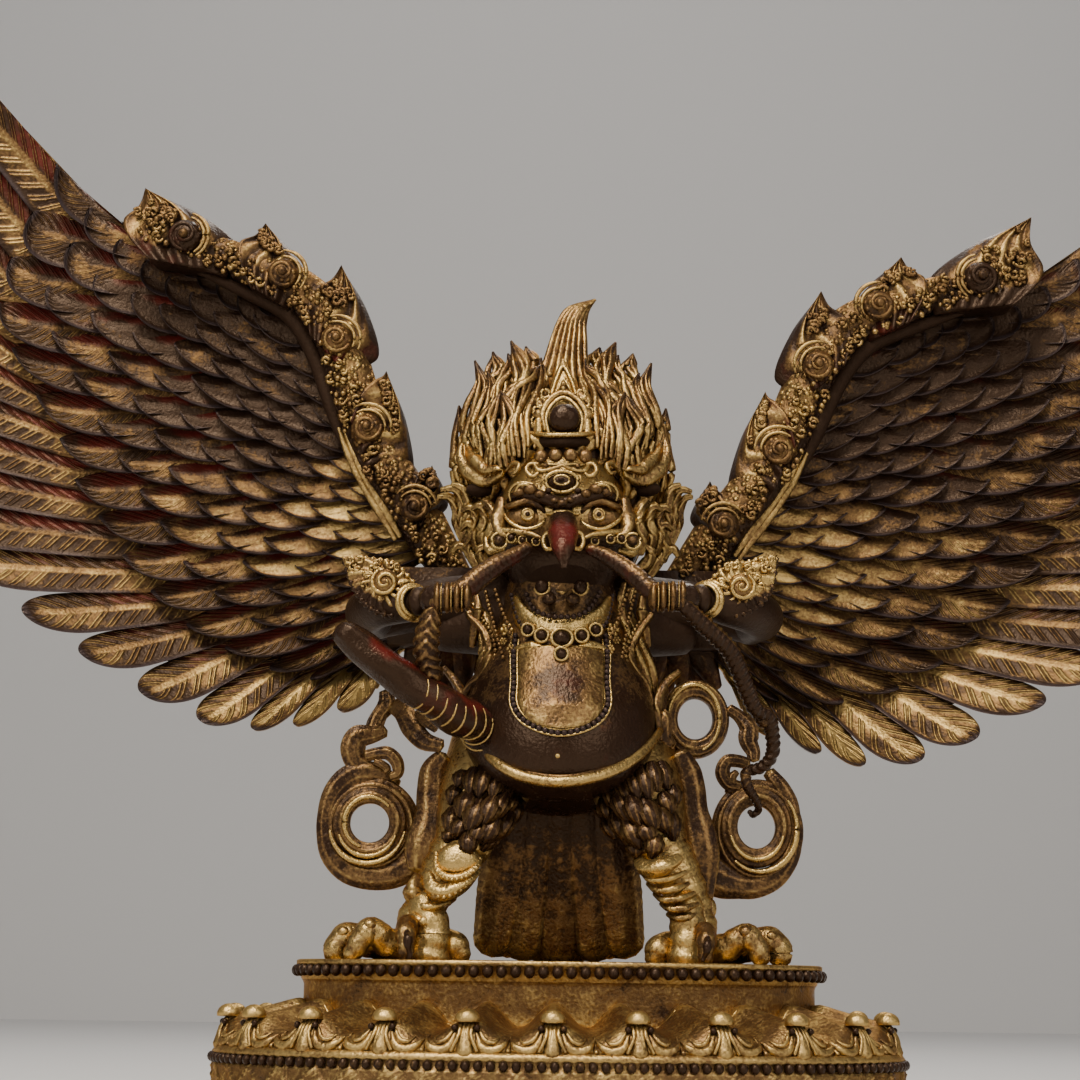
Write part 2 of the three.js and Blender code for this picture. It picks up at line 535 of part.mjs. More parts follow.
function wing(side) {
  const isRight = side > 0;
  const turn = isRight ? THREE.MathUtils.degToRad(rightWingDroop) : 0;
  const axisOut = wingAxisOut + (isRight ? rightWingOut : 0);
  const axisUp = wingAxisUp - (isRight ? rightWingDrop : 0);
  const shape = wingReach / 100;

  // Wing coordinates in millimetres to the object's own
  function place(u, depth, v) {
    const out = u * Math.cos(turn) + v * Math.sin(turn);
    const up = v * Math.cos(turn) - u * Math.sin(turn);
    return vec(side * (axisOut + out), wingAxisBack + depth, ground + axisUp + up);
  }

  // Depth of the dished sheet: 0 under the band, 1 at the last short row, 2 at the tips
  function dish(reach) {
    const share = Math.min(reach / 2, 1);
    return wingDish * Math.sin(Math.PI * share ** 0.75) - tipForward * share ** 2 + wingThickness;
  }

  // Point on the ray at share a, a distance in from the last short row (negative is further out)
  function onRay(a, distance, lift) {
    const [inner, covert, tip] = curves.map((curve) => onCurve(curve, a));
    const inside = distance >= 0;
    const length = inside ? inner.distanceTo(covert) : covert.distanceTo(tip);
    const share = Math.min(Math.abs(distance) / length, 1);
    const spot = covert.clone().lerp(inside ? inner : tip, share);
    return place(spot.x, dish(inside ? 1 - share : 1 + share) - lift, spot.z);
  }

  const points = [];
  const faces = [];
  const add = (point) => points.push(point) - 1;
  const triangle = (a, b, c) => {
    if (a !== b && b !== c && c !== a) {
      faces.push(a, b, c);
    }
  };
  // Fills the strip between two chains of vertices that start and end side by side
  function zip(left, right) {
    let i = 0;
    let j = 0;
    while (i + 1 < left.length || j + 1 < right.length) {
      const leftShare = (i + 1) / left.length;
      const rightShare = (j + 1) / right.length;
      if (j + 1 >= right.length || (i + 1 < left.length && leftShare <= rightShare)) {
        triangle(left[i], left[i + 1], right[j]);
        i += 1;
      } else {
        triangle(left[i], right[j + 1], right[j]);
        j += 1;
      }
    }
  }

  const columns = 2 * longFeathers;
  const edges = rowSteps.map((_, row) => rowSteps.slice(0, row).reduce((sum, step) => sum + step, 0));
  const front = [];
  const back = [];
  for (let k = 0; k <= columns; k += 1) {
    const a = k / columns;
    const [inner, covert] = curves.map((curve) => onCurve(curve, a));
    const room = inner.distanceTo(covert);
    const start = add(onRay(a, room, 0));
    const chain = [start];
    for (let row = rowSteps.length - 1; row >= 0; row -= 1) {
      const isTip = (k + row) % 2 === 1;
      const scallop = rowSteps[row] * (isTip ? -0.28 : 0.28);
      const distance = edges[row] + scallop;
      if (distance > room - 1.5) {
        chain.push(start, start);
      } else {
        const lift = featherLift * mix(1, 0.6, row / rowSteps.length);
        chain.push(add(onRay(a, distance, isTip ? lift : lift * 0.55)), add(onRay(a, distance + 0.25, 0)));
      }
    }
    front.push(chain);
    back.push([1, 0.5].map((share) => add(onRay(a, room * share, -wingThickness))));
    back[k].push(add(onRay(a, 0, -wingThickness)));
  }
  for (let k = 0; k < columns; k += 1) {
    for (let i = 0; i + 1 < front[k].length; i += 1) {
      triangle(front[k][i], front[k][i + 1], front[k + 1][i + 1]);
      triangle(front[k][i], front[k + 1][i + 1], front[k + 1][i]);
    }
    for (let i = 0; i + 1 < back[k].length; i += 1) {
      triangle(back[k][i], back[k + 1][i + 1], back[k][i + 1]);
      triangle(back[k][i], back[k + 1][i], back[k + 1][i + 1]);
    }
    triangle(back[k][0], front[k][0], front[k + 1][0]);
    triangle(back[k][0], front[k + 1][0], back[k + 1][0]);
  }

  // Long feathers: a notch between every two, two shoulders and a tip each, on the front and on the back
  const notches = [];
  for (let k = 0; k <= columns; k += 2) {
    const a = k / columns;
    const [, covert, tip] = curves.map((curve) => onCurve(curve, a));
    const deep = -covert.distanceTo(tip) * 0.5;
    notches.push([add(onRay(a, deep, featherLift * 0.2)), add(onRay(a, deep, -wingThickness * 0.6))]);
  }
  for (let i = 0; i < longFeathers; i += 1) {
    const [left, middle, right] = [2 * i, 2 * i + 1, 2 * i + 2];
    const a = middle / columns;
    const [, covert, tip] = curves.map((curve) => onCurve(curve, a));
    const length = covert.distanceTo(tip);
    const half = 0.5 / columns;
    const outline = [
      [a - half * 1.1, 0.84],
      [a, 1],
      [a + half * 1.1, 0.84],
    ];
    const spots = outline.map(([share, reach]) => {
      const spot = Math.min(Math.max(share, 0), 1);
      return [add(onRay(spot, -length * reach, 0)), add(onRay(spot, -length * reach, -wingThickness * 0.5))];
    });
    const ridge = add(onRay(a, -length * 0.45, featherLift * 0.8));
    const rim = [notches[i], ...spots, notches[i + 1]];
    const last = front[middle].length - 1;
    const frontLoop = [front[middle][last], front[left][last], ...rim.map((pair) => pair[0]), front[right][last]];
    for (let j = 0; j < frontLoop.length; j += 1) {
      triangle(ridge, frontLoop[j], frontLoop[(j + 1) % frontLoop.length]);
    }
    const end = back[middle].length - 1;
    const backLoop = [back[left][end], ...rim.map((pair) => pair[1]), back[right][end]];
    for (let j = 0; j + 1 < backLoop.length; j += 1) {
      triangle(back[middle][end], backLoop[j + 1], backLoop[j]);
    }
    for (let j = 0; j + 1 < rim.length; j += 1) {
      triangle(rim[j][0], rim[j][1], rim[j + 1][1]);
      triangle(rim[j][0], rim[j + 1][1], rim[j + 1][0]);
    }
  }
  zip([...back[0], notches[0][1]], [...front[0], notches[0][0]]);
  zip([...front[columns], notches[longFeathers][0]], [...back[columns], notches[longFeathers][1]]);
  const sheet = solid(closedGeometry(points, faces));

  // Ornamental band that stands proud of the sheet, a pointed leaf at every scroll and a boss on it
  const bandDepth = -1.5;
  const spot = ([u, v], depth) => place(u * shape, depth, v * shape);
  const band = limb(bandLine.map((p) => spot(p, bandDepth)), [4.4, 5.2, 5.4, 5.2, 5, 5, 5.2, 4.6, 2.6],
    { sides: 6, steps: 9, flat: 1.6, across: vec(0, 1, 0) });
  const tips = isRight ? [...leafTips.slice(0, -1), rightTopLeaf] : leafTips;
  const leaves = tips.map((tip, i) => {
    const [u, v] = bossSpots[i];
    const middle = [mix(u, tip[0], 0.5), mix(v, tip[1], 0.55)];
    return limb([spot([u, v], bandDepth), spot(middle, bandDepth), spot(tip, bandDepth + 1)], [7, 5, 0.5],
      { sides: 4, steps: 2, flat: 0.5, across: vec(side, 0, 0.4) });
  });
  const bosses = bossSpots.map((p) => ellipsoid(spot(p, bandDepth - 3.6), 4.8, 3, 4.8, 6, 3));

  const joint = side * (lugOut + seat / 2);
  return joined([sheet, band, ...leaves, ...bosses, jointBlock(joint, joint + side * tangLength)]);
}

const group = new THREE.Group();
group.add(
  namedMesh("pedestal", pedestal, 0x6d5228, 0.42, 0.85),
  namedMesh("figure", figure, 0x7a5b2b, 0.38, 0.85),
  namedMesh("left_wing", wing(-1), 0x7d5c2a, 0.4, 0.85),
  namedMesh("right_wing", wing(1), 0x765728, 0.4, 0.85),
);

export default group;
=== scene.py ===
"""Gilt and lacquered bronze garuda with raised wings on an oval lotus pedestal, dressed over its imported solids.

Lengths are in millimetres until a casting's mesh is made, in the frame of the solids.
"""

import bpy
import numpy as np
from mathutils import Matrix, Vector


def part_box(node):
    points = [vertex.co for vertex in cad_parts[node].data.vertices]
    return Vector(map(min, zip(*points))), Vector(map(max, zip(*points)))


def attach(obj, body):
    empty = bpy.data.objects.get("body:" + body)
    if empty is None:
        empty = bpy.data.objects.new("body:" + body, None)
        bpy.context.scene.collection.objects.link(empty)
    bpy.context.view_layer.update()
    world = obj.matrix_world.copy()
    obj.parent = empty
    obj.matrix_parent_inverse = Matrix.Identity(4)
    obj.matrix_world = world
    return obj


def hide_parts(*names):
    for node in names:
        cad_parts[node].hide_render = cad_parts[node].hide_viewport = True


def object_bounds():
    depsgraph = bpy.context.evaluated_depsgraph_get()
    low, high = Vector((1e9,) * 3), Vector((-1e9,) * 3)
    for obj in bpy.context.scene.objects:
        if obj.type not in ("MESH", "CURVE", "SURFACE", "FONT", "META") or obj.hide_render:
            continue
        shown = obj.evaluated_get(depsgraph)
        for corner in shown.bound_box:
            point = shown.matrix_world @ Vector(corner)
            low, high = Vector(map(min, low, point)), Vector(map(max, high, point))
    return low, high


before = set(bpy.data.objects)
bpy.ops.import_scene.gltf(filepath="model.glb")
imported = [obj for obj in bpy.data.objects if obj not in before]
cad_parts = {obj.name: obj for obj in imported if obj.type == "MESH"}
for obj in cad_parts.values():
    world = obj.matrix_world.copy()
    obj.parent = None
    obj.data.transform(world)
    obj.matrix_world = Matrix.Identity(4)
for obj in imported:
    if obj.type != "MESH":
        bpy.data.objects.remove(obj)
solid_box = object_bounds()

# PEDESTAL
# One hollow casting of copper alloy: a foot, a latticed band between two rows of beads, a row of domed petals
# and a drum whose beaded rim carries the figure's feet. It was gilded over dark lacquer and has worn unevenly.

MM = 0.001
castings = []


class Casting:
    """A casting in the making: closed grids of points in millimetres, joined into one mesh at the end."""

    def __init__(self, name, slot):
        self.name = name
        self.slot = slot
        self.points = []
        self.quads = []
        self.triangles = []
        self.finish_and_shade = []
        self.vane = []
        self.count = 0

    def add(self, grid, finish_and_shade=(0, 0, 0), vane=(0.0, 0.0, 0.0, 0.0), ring=False):
        """Adds grids shaped (..., rows, columns, 3) that close on themselves across their columns. The first and
        last rows shrink to poles, or with ring the rows close on themselves too. A grid of negative volume, the
        sum of each triangle's triple product, is turned inside out. Finish is red lacquer, bare metal and the
        gold's bias, and in places a low bias is painted shade; vane is a feather's phase along its lines, its share
        across, its kind (1 lined, 0 plain, -1 grained) and its own tone."""
        grid = np.asarray(grid, float)
        rows, columns = grid.shape[-3:-1]
        grid = grid.reshape(-1, rows, columns, 3)
        copies = len(grid)
        finish_and_shade = np.broadcast_to(finish_and_shade, grid.shape)
        vane = np.broadcast_to(vane, (*grid.shape[:-1], 4))
        index = np.arange(rows * columns).reshape(rows, columns)
        kept = np.ones(rows * columns, bool)
        if ring:
            near, far = index, np.roll(index, -1, axis=0)
            fans = np.zeros((0, 3), int)
        else:
            near, far = index[1:-2], index[2:-1]
            grid = grid.copy()
            grid[:, [0, -1]] = grid[:, [0, -1]].mean(axis=2, keepdims=True)
            kept[index[0, 1:]] = False
            kept[index[-1, 1:]] = False
            first, last = index[1], index[-2]
            start = np.full(columns, index[0, 0])
            end = np.full(columns, index[-1, 0])
            fans = np.concatenate([
                np.stack([start, np.roll(first, -1), first], axis=1),
                np.stack([end, last, np.roll(last, -1)], axis=1)])
        quads = np.stack([near, np.roll(near, -1, 1), np.roll(far, -1, 1), far], axis=-1).reshape(-1, 4)
        flat = grid.reshape(copies, -1, 3)
        corners = np.concatenate([quads[:, [0, 1, 2]], quads[:, [0, 2, 3]], fans])
        a, b, c = (flat[:, corners[:, k]] - flat[:, :1] for k in range(3))
        inside_out = np.einsum("nij,nij->n", a, np.cross(b, c)) < 0
        number = np.cumsum(kept) - 1
        shift = self.count + np.arange(copies)[:, None, None] * int(kept.sum())
        for faces, store in ((quads, self.quads), (fans, self.triangles)):
            placed = np.broadcast_to(number[faces], (copies, *faces.shape)) + shift
            placed[inside_out] = placed[inside_out, :, ::-1]
            store.append(placed.reshape(-1, faces.shape[1]))
        self.points.append(flat[:, kept].reshape(-1, 3))
        self.finish_and_shade.append(finish_and_shade.reshape(copies, -1, 3)[:, kept].reshape(-1, 3))
        self.vane.append(vane.reshape(copies, -1, 4)[:, kept].reshape(-1, 4))
        self.count += copies * int(kept.sum())

    def make(self, material, *nodes):
        """Puts the gathered grids into one smooth mesh that rides on the part and may stand for its nodes."""
        points = np.concatenate(self.points)
        faces = [np.concatenate(self.quads), np.concatenate(self.triangles)]
        sizes = np.concatenate([np.full(len(group), group.shape[1]) for group in faces])
        mesh = bpy.data.meshes.new(self.name)
        mesh.vertices.add(len(points))
        mesh.vertices.foreach_set("co", (points * MM).ravel())
        mesh.loops.add(int(sizes.sum()))
        mesh.loops.foreach_set("vertex_index", np.concatenate([group.ravel() for group in faces]))
        mesh.polygons.add(len(sizes))
        mesh.polygons.foreach_set("loop_start", np.concatenate([[0], np.cumsum(sizes)[:-1]]))
        mesh.update(calc_edges=True)
        mesh.shade_smooth()
        finish_and_shade = np.concatenate([np.concatenate(self.finish_and_shade), np.ones((len(points), 1))], axis=1)
        mesh.attributes.new("finish_and_shade", "FLOAT_COLOR", "POINT").data.foreach_set("color", finish_and_shade.ravel())
        vane = np.concatenate(self.vane)
        mesh.attributes.new("vane", "FLOAT_COLOR", "POINT").data.foreach_set("color", vane.ravel())
        mesh.materials.append(material)
        piece = bpy.data.objects.new(self.name, mesh)
        bpy.context.scene.collection.objects.link(piece)
        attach(piece, "root")
        if nodes:
            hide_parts(*nodes)
        castings.append(piece)


foot_half, foot_depth, pedestal_height = (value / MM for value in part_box("pedestal")[1])
depth_step = foot_half - foot_depth
plan_power = 2.3
top_half, drum_half, cushion_half, lattice_half, waist_half = 64.2, 62.3, 82.4, 83.4, 80.5
upper_bead, lower_bead = 1.4, 1.15
plate = 1.2
lattice_low, lattice_high, bead_line, cushion_low = 18.0, 23.6, 24.9, 28.0
cushion_rise = 10.4
cusp_drop = 5.6
petal_count = 23
petal_shift = 0.15


def plan(half, angle):
    """Oval plan: half width times the signed cosine and sine, each raised to 2 over the plan's power."""
    def rounded(value):
        return np.sign(value) * np.abs(value) ** (2 / plan_power)
    return np.stack([half * rounded(np.cos(angle)), (half - depth_step) * rounded(np.sin(angle))], axis=-1)


def rail(half, count, start=0.0):
    """Angles of the plan at which count points lie at equal distances along its edge."""
    angle = np.linspace(0, 2 * np.pi, 7201)
    steps = np.linalg.norm(np.diff(plan(half, angle), axis=0), axis=1)
    length = np.concatenate([[0], np.cumsum(steps)])
    places = (start + np.arange(count) / count) % 1 * length[-1]
    return np.interp(places, length, angle), places, length[-1]


def outward(half, angle):
    """Unit normal of the plan's edge, from the differences between two close points on it."""
    step = plan(half, angle + 1e-3) - plan(half, angle - 1e-3)
    normal = np.stack([step[..., 1], -step[..., 0]], axis=-1)
    return normal / np.linalg.norm(normal, axis=-1, keepdims=True)


def lump(centre, radii, rows=9, columns=12):
    """Ellipsoids: each centre plus its radii, one for all or three, times a unit sphere's point at every polar
    and round angle."""
    polar = np.linspace(0, np.pi, rows)[:, None]
    turn = np.arange(columns) / columns * 2 * np.pi
    sphere = np.stack([np.sin(polar) * np.cos(turn), np.sin(polar) * np.sin(turn), np.cos(polar) + 0 * turn], axis=-1)
    centre = np.asarray(centre, float)
    return centre[..., None, None, :] + np.broadcast_to(radii, centre.shape)[..., None, None, :] * sphere


def capped(rows):
    """Rows with the first and the last one doubled, for Casting.add to draw together into poles."""
    return np.concatenate([rows[:1], rows, rows[-1:]])


def shades(red, bare, gold):
    """Finish of every point from its red lacquer, its bare metal and the gold's bias."""
    return np.stack(np.broadcast_arrays(red, bare, gold), axis=-1)


def unit_of(vectors):
    """Vectors divided by their own lengths."""
    return vectors / np.maximum(np.linalg.norm(vectors, axis=-1, keepdims=True), 1e-9)


def smooth_line(points, shares):
    """Centripetal Catmull-Rom curve: between two points a cubic with both tangents taken over the square roots
    of the neighbouring distances; shares run from 0 at the first point to 1 at the last."""
    points = np.asarray(points, float)
    first = 2 * points[..., :1, :] - points[..., 1:2, :]
    last = 2 * points[..., -1:, :] - points[..., -2:-1, :]
    points = np.concatenate([first, points, last], axis=-2)
    place = np.asarray(shares) * (points.shape[-2] - 3)
    span = np.clip(np.floor(place).astype(int), 0, points.shape[-2] - 4)
    a, b, c, d = (points[..., span + k, :] for k in range(4))
    before, across, after = (
        np.maximum(np.linalg.norm(q - p, axis=-1, keepdims=True), 1e-6) ** 0.5 for p, q in ((a, b), (b, c), (c, d)))
    rise = across * ((b - a) / before - (c - a) / (before + across)) + (c - b)
    fall = across * ((d - c) / after - (d - b) / (across + after)) + (c - b)
    share = (place - span)[:, None]
    return (b + rise * share + (3 * (c - b) - 2 * rise - fall) * share**2 + (2 * (b - c) + rise + fall) * share**3)


def even_line(points, rows):
    """Points at equal distances along a smooth line, found on a fine polyline by its running length."""
    samples = 160
    fine = smooth_line(points, np.linspace(0, 1, samples))
    steps = np.linalg.norm(np.diff(fine, axis=-2), axis=-1)
    flat = fine.reshape(-1, samples, 3)
    even = []
    for line, step in zip(flat, steps.reshape(len(flat), -1)):
        length = np.concatenate([[0], np.cumsum(step)])
        places = np.linspace(0, length[-1], rows)
        even.append(np.stack([np.interp(places, length, line[:, k]) for k in range(3)], axis=-1))
    return np.reshape(even, (*fine.shape[:-2], rows, 3))


def bar(path, radii, rows=16, columns=10, flat=1.0, across=(0, 0, 1), relief=None, cap=0.8):
    """Round bars with domed ends along smooth paths: centre plus radius times cosine of the turn along the across
    direction and flat times its sine along the other normal. Relief adds millimetres to the radius, from the
    distance along the bar and the turn."""
    centre = even_line(path, rows)
    tangent = unit_of(np.gradient(centre, axis=-2))
    across = np.broadcast_to(np.asarray(across, float), centre.shape)
    first = unit_of(across - tangent * np.sum(across * tangent, axis=-1, keepdims=True))
    second = np.cross(tangent, first)
    radii = np.asarray(radii, float)
    place = np.linspace(0, radii.shape[-1] - 1, rows)
    low = np.minimum(np.floor(place).astype(int), radii.shape[-1] - 2)
    radius = radii[..., low] * (1 - place + low) + radii[..., low + 1] * (place - low)
    radius = np.broadcast_to(radius, centre.shape[:-1])
    length = np.linalg.norm(np.diff(centre, axis=-2, prepend=centre[..., :1, :]), axis=-1).cumsum(axis=-1)
    ends = np.array([1.0, 0.87, 0.5])
    order = np.r_[[0] * 3, np.arange(rows), [rows - 1] * 3]
    push = np.r_[-ends, np.zeros(rows), ends[::-1]] * cap
    shrink = np.r_[np.sqrt(1 - ends**2), np.ones(rows), np.sqrt(1 - ends[::-1] ** 2)]
    centre = centre[..., order, :] + tangent[..., order, :] * (radius[..., order] * push)[..., None]
    turn = np.arange(columns) / columns * 2 * np.pi
    size = radius[..., order, None] + 0 * turn
    if relief is not None:
        size = size + relief(length[..., order, None], turn)
    size = size * shrink[:, None]
    first, second = first[..., order, None, :], second[..., order, None, :]
    return (centre[..., None, :] + first * (size * np.cos(turn))[..., None]
            + second * (size * flat * np.sin(turn))[..., None])


def beads(half, height, radius, pitch, columns=10, rows=8):
    """Row of beads round the plan: a lump at every pitch, a little taller than wide as cast beads are."""
    count = int(rail(half, 8)[2] / pitch)
    angle = rail(half, count)[0]
    centre = np.concatenate([plan(half, angle), np.full((count, 1), height)], axis=1)
    return lump(centre, radius * np.array([0.94, 0.94, 1.04]), rows, columns)


def lattice(place, height):
    """Raised double lines that cross between two rows of beads: each line is a narrow ridge where the distance
    along the edge plus or minus the height's share meets a whole number of pitches, with a dot in every cell."""
    pitch, line = 9.6, 0.42
    share = (height - lattice_low) / (lattice_high - lattice_low)
    line_rise, dot_rise, dot = 0.4, 0.75, 0.55
    relief = np.zeros(np.broadcast(place, height).shape)
    for way in (-1, 1):
        for beside in (-0.55, 0.55):
            phase = (place + beside + way * share * pitch / 2) / pitch
            away = np.abs(phase - np.round(phase)) * pitch
            relief = np.maximum(relief, line_rise * np.exp(-((away / line) ** 2)))
    for offset, level in ((0.25, 0.5), (0.75, 0.5), (0, 0.17), (0.5, 0.83)):
        phase = place / pitch + offset
        away = (phase - np.round(phase)) * pitch
        tall = (share - level) * (lattice_high - lattice_low)
        relief = np.maximum(relief, dot_rise * np.exp(-((away**2 + tall**2) / dot**2)))
    return relief * (np.abs(share - 0.5) < 0.55)


def pedestal_body():
    """Rings of the plan, one for each height of the turned profile, pushed out by the lattice's relief."""
    profile = np.array([
        [foot_half - 1.2, 0], [foot_half, 0.8], [foot_half, 2.6], [foot_half - 1.5, 3.6], [waist_half + 2, 5],
        [waist_half + 0.6, 6.6], [waist_half, 9], [waist_half, 13.4], [waist_half + 0.8, 14.8],
        [lattice_half + 0.6, 15.3], [lattice_half + 1.5, 16.4], [lattice_half + 0.6, 17.5],
        [lattice_half, lattice_low], [lattice_half, lattice_high], [lattice_half - 0.5, bead_line - 0.6],
        [lattice_half - 0.5, bead_line + 0.9], [lattice_half + 0.3, bead_line + 1.3],
        [lattice_half - 0.6, cushion_low - 0.4], [lattice_half - 2.6, cushion_low], [drum_half, cushion_low + 1]])
    share = np.linspace(0, 1, len(profile))
    fine = np.unique(np.r_[share, np.linspace(share[12], share[13], 14), np.linspace(0, share[12], 18)])
    half, height = (np.interp(fine, share, profile[:, k])[:, None] for k in range(2))
    angle, place, _ = rail(lattice_half, 560)
    ring = plan(half, angle) + outward(lattice_half, angle) * lattice(place, height)[..., None]
    grid = np.concatenate([ring, np.broadcast_to(height[..., None], (*ring.shape[:2], 1))], axis=-1)
    low = np.zeros((1, *grid.shape[1:]))
    high = low + (0, 0, cushion_low + 1)
    return np.concatenate([low, grid[:1] * (0.96, 0.96, 0), grid, high])


def petals():
    """Row of domed petals: from the drum each comes out along a quarter round, and its height falls from the
    petal's middle to the cusp between two petals by a cosine."""
    columns = petal_count * 20
    angle, place, around = rail(cushion_half, columns, 0.5 / petal_count)
    phase = place / around * petal_count - petal_shift
    inside = 2 * np.abs(phase - np.round(phase))
    top = cushion_rise - cusp_drop * (0.5 - 0.5 * np.cos(np.pi * inside)) ** 0.9
    swell = 1 - 0.045 * inside**6
    v = np.linspace(0, 1, 18)[:, None]
    out = np.sin(v * np.pi / 2) ** 0.85
    half = drum_half - 0.8 + (cushion_half - drum_half + 0.4) * out * swell
    edge = plan(half, angle)
    lip = 0.45 * np.exp(-(((v - 0.06) / 0.05) ** 2))
    dish = 0.9 * np.sin(np.pi * np.clip((v - 0.1) / 0.5, 0, 1)) * np.cos(np.pi / 2 * np.clip(inside, 0, 1)) ** 2
    height = cushion_low - 0.6 + (top + 0.6) * np.cos(v * np.pi / 2) ** 0.7 + lip - dish
    grid = np.concatenate([edge, height[..., None]], axis=-1)
    under = np.concatenate([plan(drum_half - 4, angle), np.full((columns, 1), cushion_low - 0.6)], axis=1)[None]
    cover = np.concatenate([plan(drum_half - 4, angle), np.full((columns, 1), cushion_low + 3)], axis=1)[None]
    middle = np.zeros((1, columns, 3)) + (0, 0, cushion_low)
    return np.concatenate([middle, cover, grid, under, middle])


def on_petal(across, down, lift=0.0):
    """Points on every petal from their share across (-1 to 1) and down (0 at the drum, 1 at the fillet)."""
    across, down = np.broadcast_arrays(np.asarray(across, float), np.asarray(down, float))
    pitch = 1 / petal_count
    place = (np.arange(petal_count) + 0.5)[:, None] * pitch + across.ravel() * pitch / 2
    length = rail(cushion_half, 8)[2]
    fine = np.linspace(0, 2 * np.pi, 3601)
    run = np.r_[0, np.linalg.norm(np.diff(plan(cushion_half, fine), axis=0), axis=1).cumsum()]
    angle = np.interp((place + (0.5 + petal_shift) * pitch) % 1 * length, run, fine)
    out = np.sin(down.ravel() * np.pi / 2) ** 0.85
    half = drum_half - 0.8 + (cushion_half - drum_half + 0.4) * out + lift
    top = cushion_rise - cusp_drop * (0.5 - 0.5 * np.cos(np.pi * across.ravel())) ** 0.9
    height = cushion_low - 0.6 + (top + 0.6) * np.cos(down.ravel() * np.pi / 2) ** 0.7 + lift * 0.35
    points = np.stack([*np.moveaxis(plan(half, angle), -1, 0), np.broadcast_to(height, angle.shape)], axis=-1)
    return points.reshape(petal_count, *across.shape, 3)


pedestal = Casting("lotus_pedestal", "pedestal_bronze")
pedestal.add(pedestal_body())
pedestal.add(petals())
drum_profile = [[drum_half - 0.4, cushion_low], [drum_half, cushion_low + 6], [drum_half, 42.2],
                [drum_half + 0.3, 43], [top_half - 1.2, 43.5], [top_half - 0.9, 46.4], [top_half, 46.9],
                [top_half, pedestal_height - 0.25], [top_half - 0.5, pedestal_height]]
drum_columns = 420
drum_half_widths, drum_heights = (np.array(drum_profile)[:, k, None] for k in range(2))
drum_edge = plan(drum_half_widths, rail(drum_half, drum_columns)[0])
drum = np.concatenate([drum_edge, np.broadcast_to(drum_heights[..., None], (*drum_edge.shape[:2], 1))], axis=-1)
drum_floor = np.zeros((1, drum_columns, 3)) + (0, 0, cushion_low)
drum_top = np.zeros((1, drum_columns, 3)) + (0, 0, pedestal_height)
pedestal.add(np.concatenate([drum_floor, drum, drum[-1:] * (0.75, 0.75, 1), drum[-1:] * (0.4, 0.4, 1), drum_top]),
             (0.15, 0, 0.02))
bead_finish = (0.12, 0.25, -0.42)
pedestal.add(beads(top_half - 0.1, pedestal_height - plate - upper_bead, upper_bead, 3.2, 9, 7), bead_finish)
pedestal.add(beads(lattice_half + 0.3, bead_line, lower_bead, 2.8, 9, 7), bead_finish)
crest = on_petal(np.linspace(-1, 1, 9), 0.05, 0.35)
pedestal.add(bar(crest, [0.26, 0.26], rows=18, columns=6), (0, 0, 0.5))
knob_place = on_petal([0.0], [0.64], 0.9)[:, 0]
knob = lump(knob_place, (2.9, 2.7, 2.5), 10, 16)
knob[..., 2] = np.maximum(knob[..., 2], knob_place[:, None, None, 2] - 0.5)
pedestal.add(knob, (0, 0, 0.22))
stem = on_petal([0.0, 0.0, 0.0], [0.68, 0.84, 0.99], -0.5)
pedestal.add(bar(stem, [1.3, 1.5, 2.2], rows=8, columns=10))
pedestal.add(bar(on_petal([1.0, 1.0], [0.55, 0.97], 0.1), [0.25, 0.55], rows=10, columns=8))
for side in (-1, 1):
    for across in (0.045, 0.135):
        stem = on_petal(np.array([across, across * 1.1, across * 2.2]) * side, [0.7, 0.86, 0.99], 0.55)
        pedestal.add(bar(stem, [0.5, 0.5, 0.42], rows=6, columns=7), (0, 0, 0.1))
    pedestal.add(lump(on_petal([0.26 * side], [0.73], 0.9)[:, 0], 0.78, 7, 8), bead_finish)
    scroll = on_petal(np.array([0.24, 0.38, 0.6, 0.84, 0.97]) * side, [0.8, 0.95, 0.975, 0.9, 0.7], 0.0)
    pedestal.add(bar(scroll, [0.45, 1.0, 1.2, 0.9, 0.35], rows=15, columns=8, flat=0.9))
    scroll = on_petal(np.array([0.3, 0.48, 0.66, 0.76]) * side, [0.74, 0.86, 0.85, 0.7], 0.1)
    pedestal.add(bar(scroll, [0.35, 0.6, 0.55, 0.25], rows=10, columns=6))


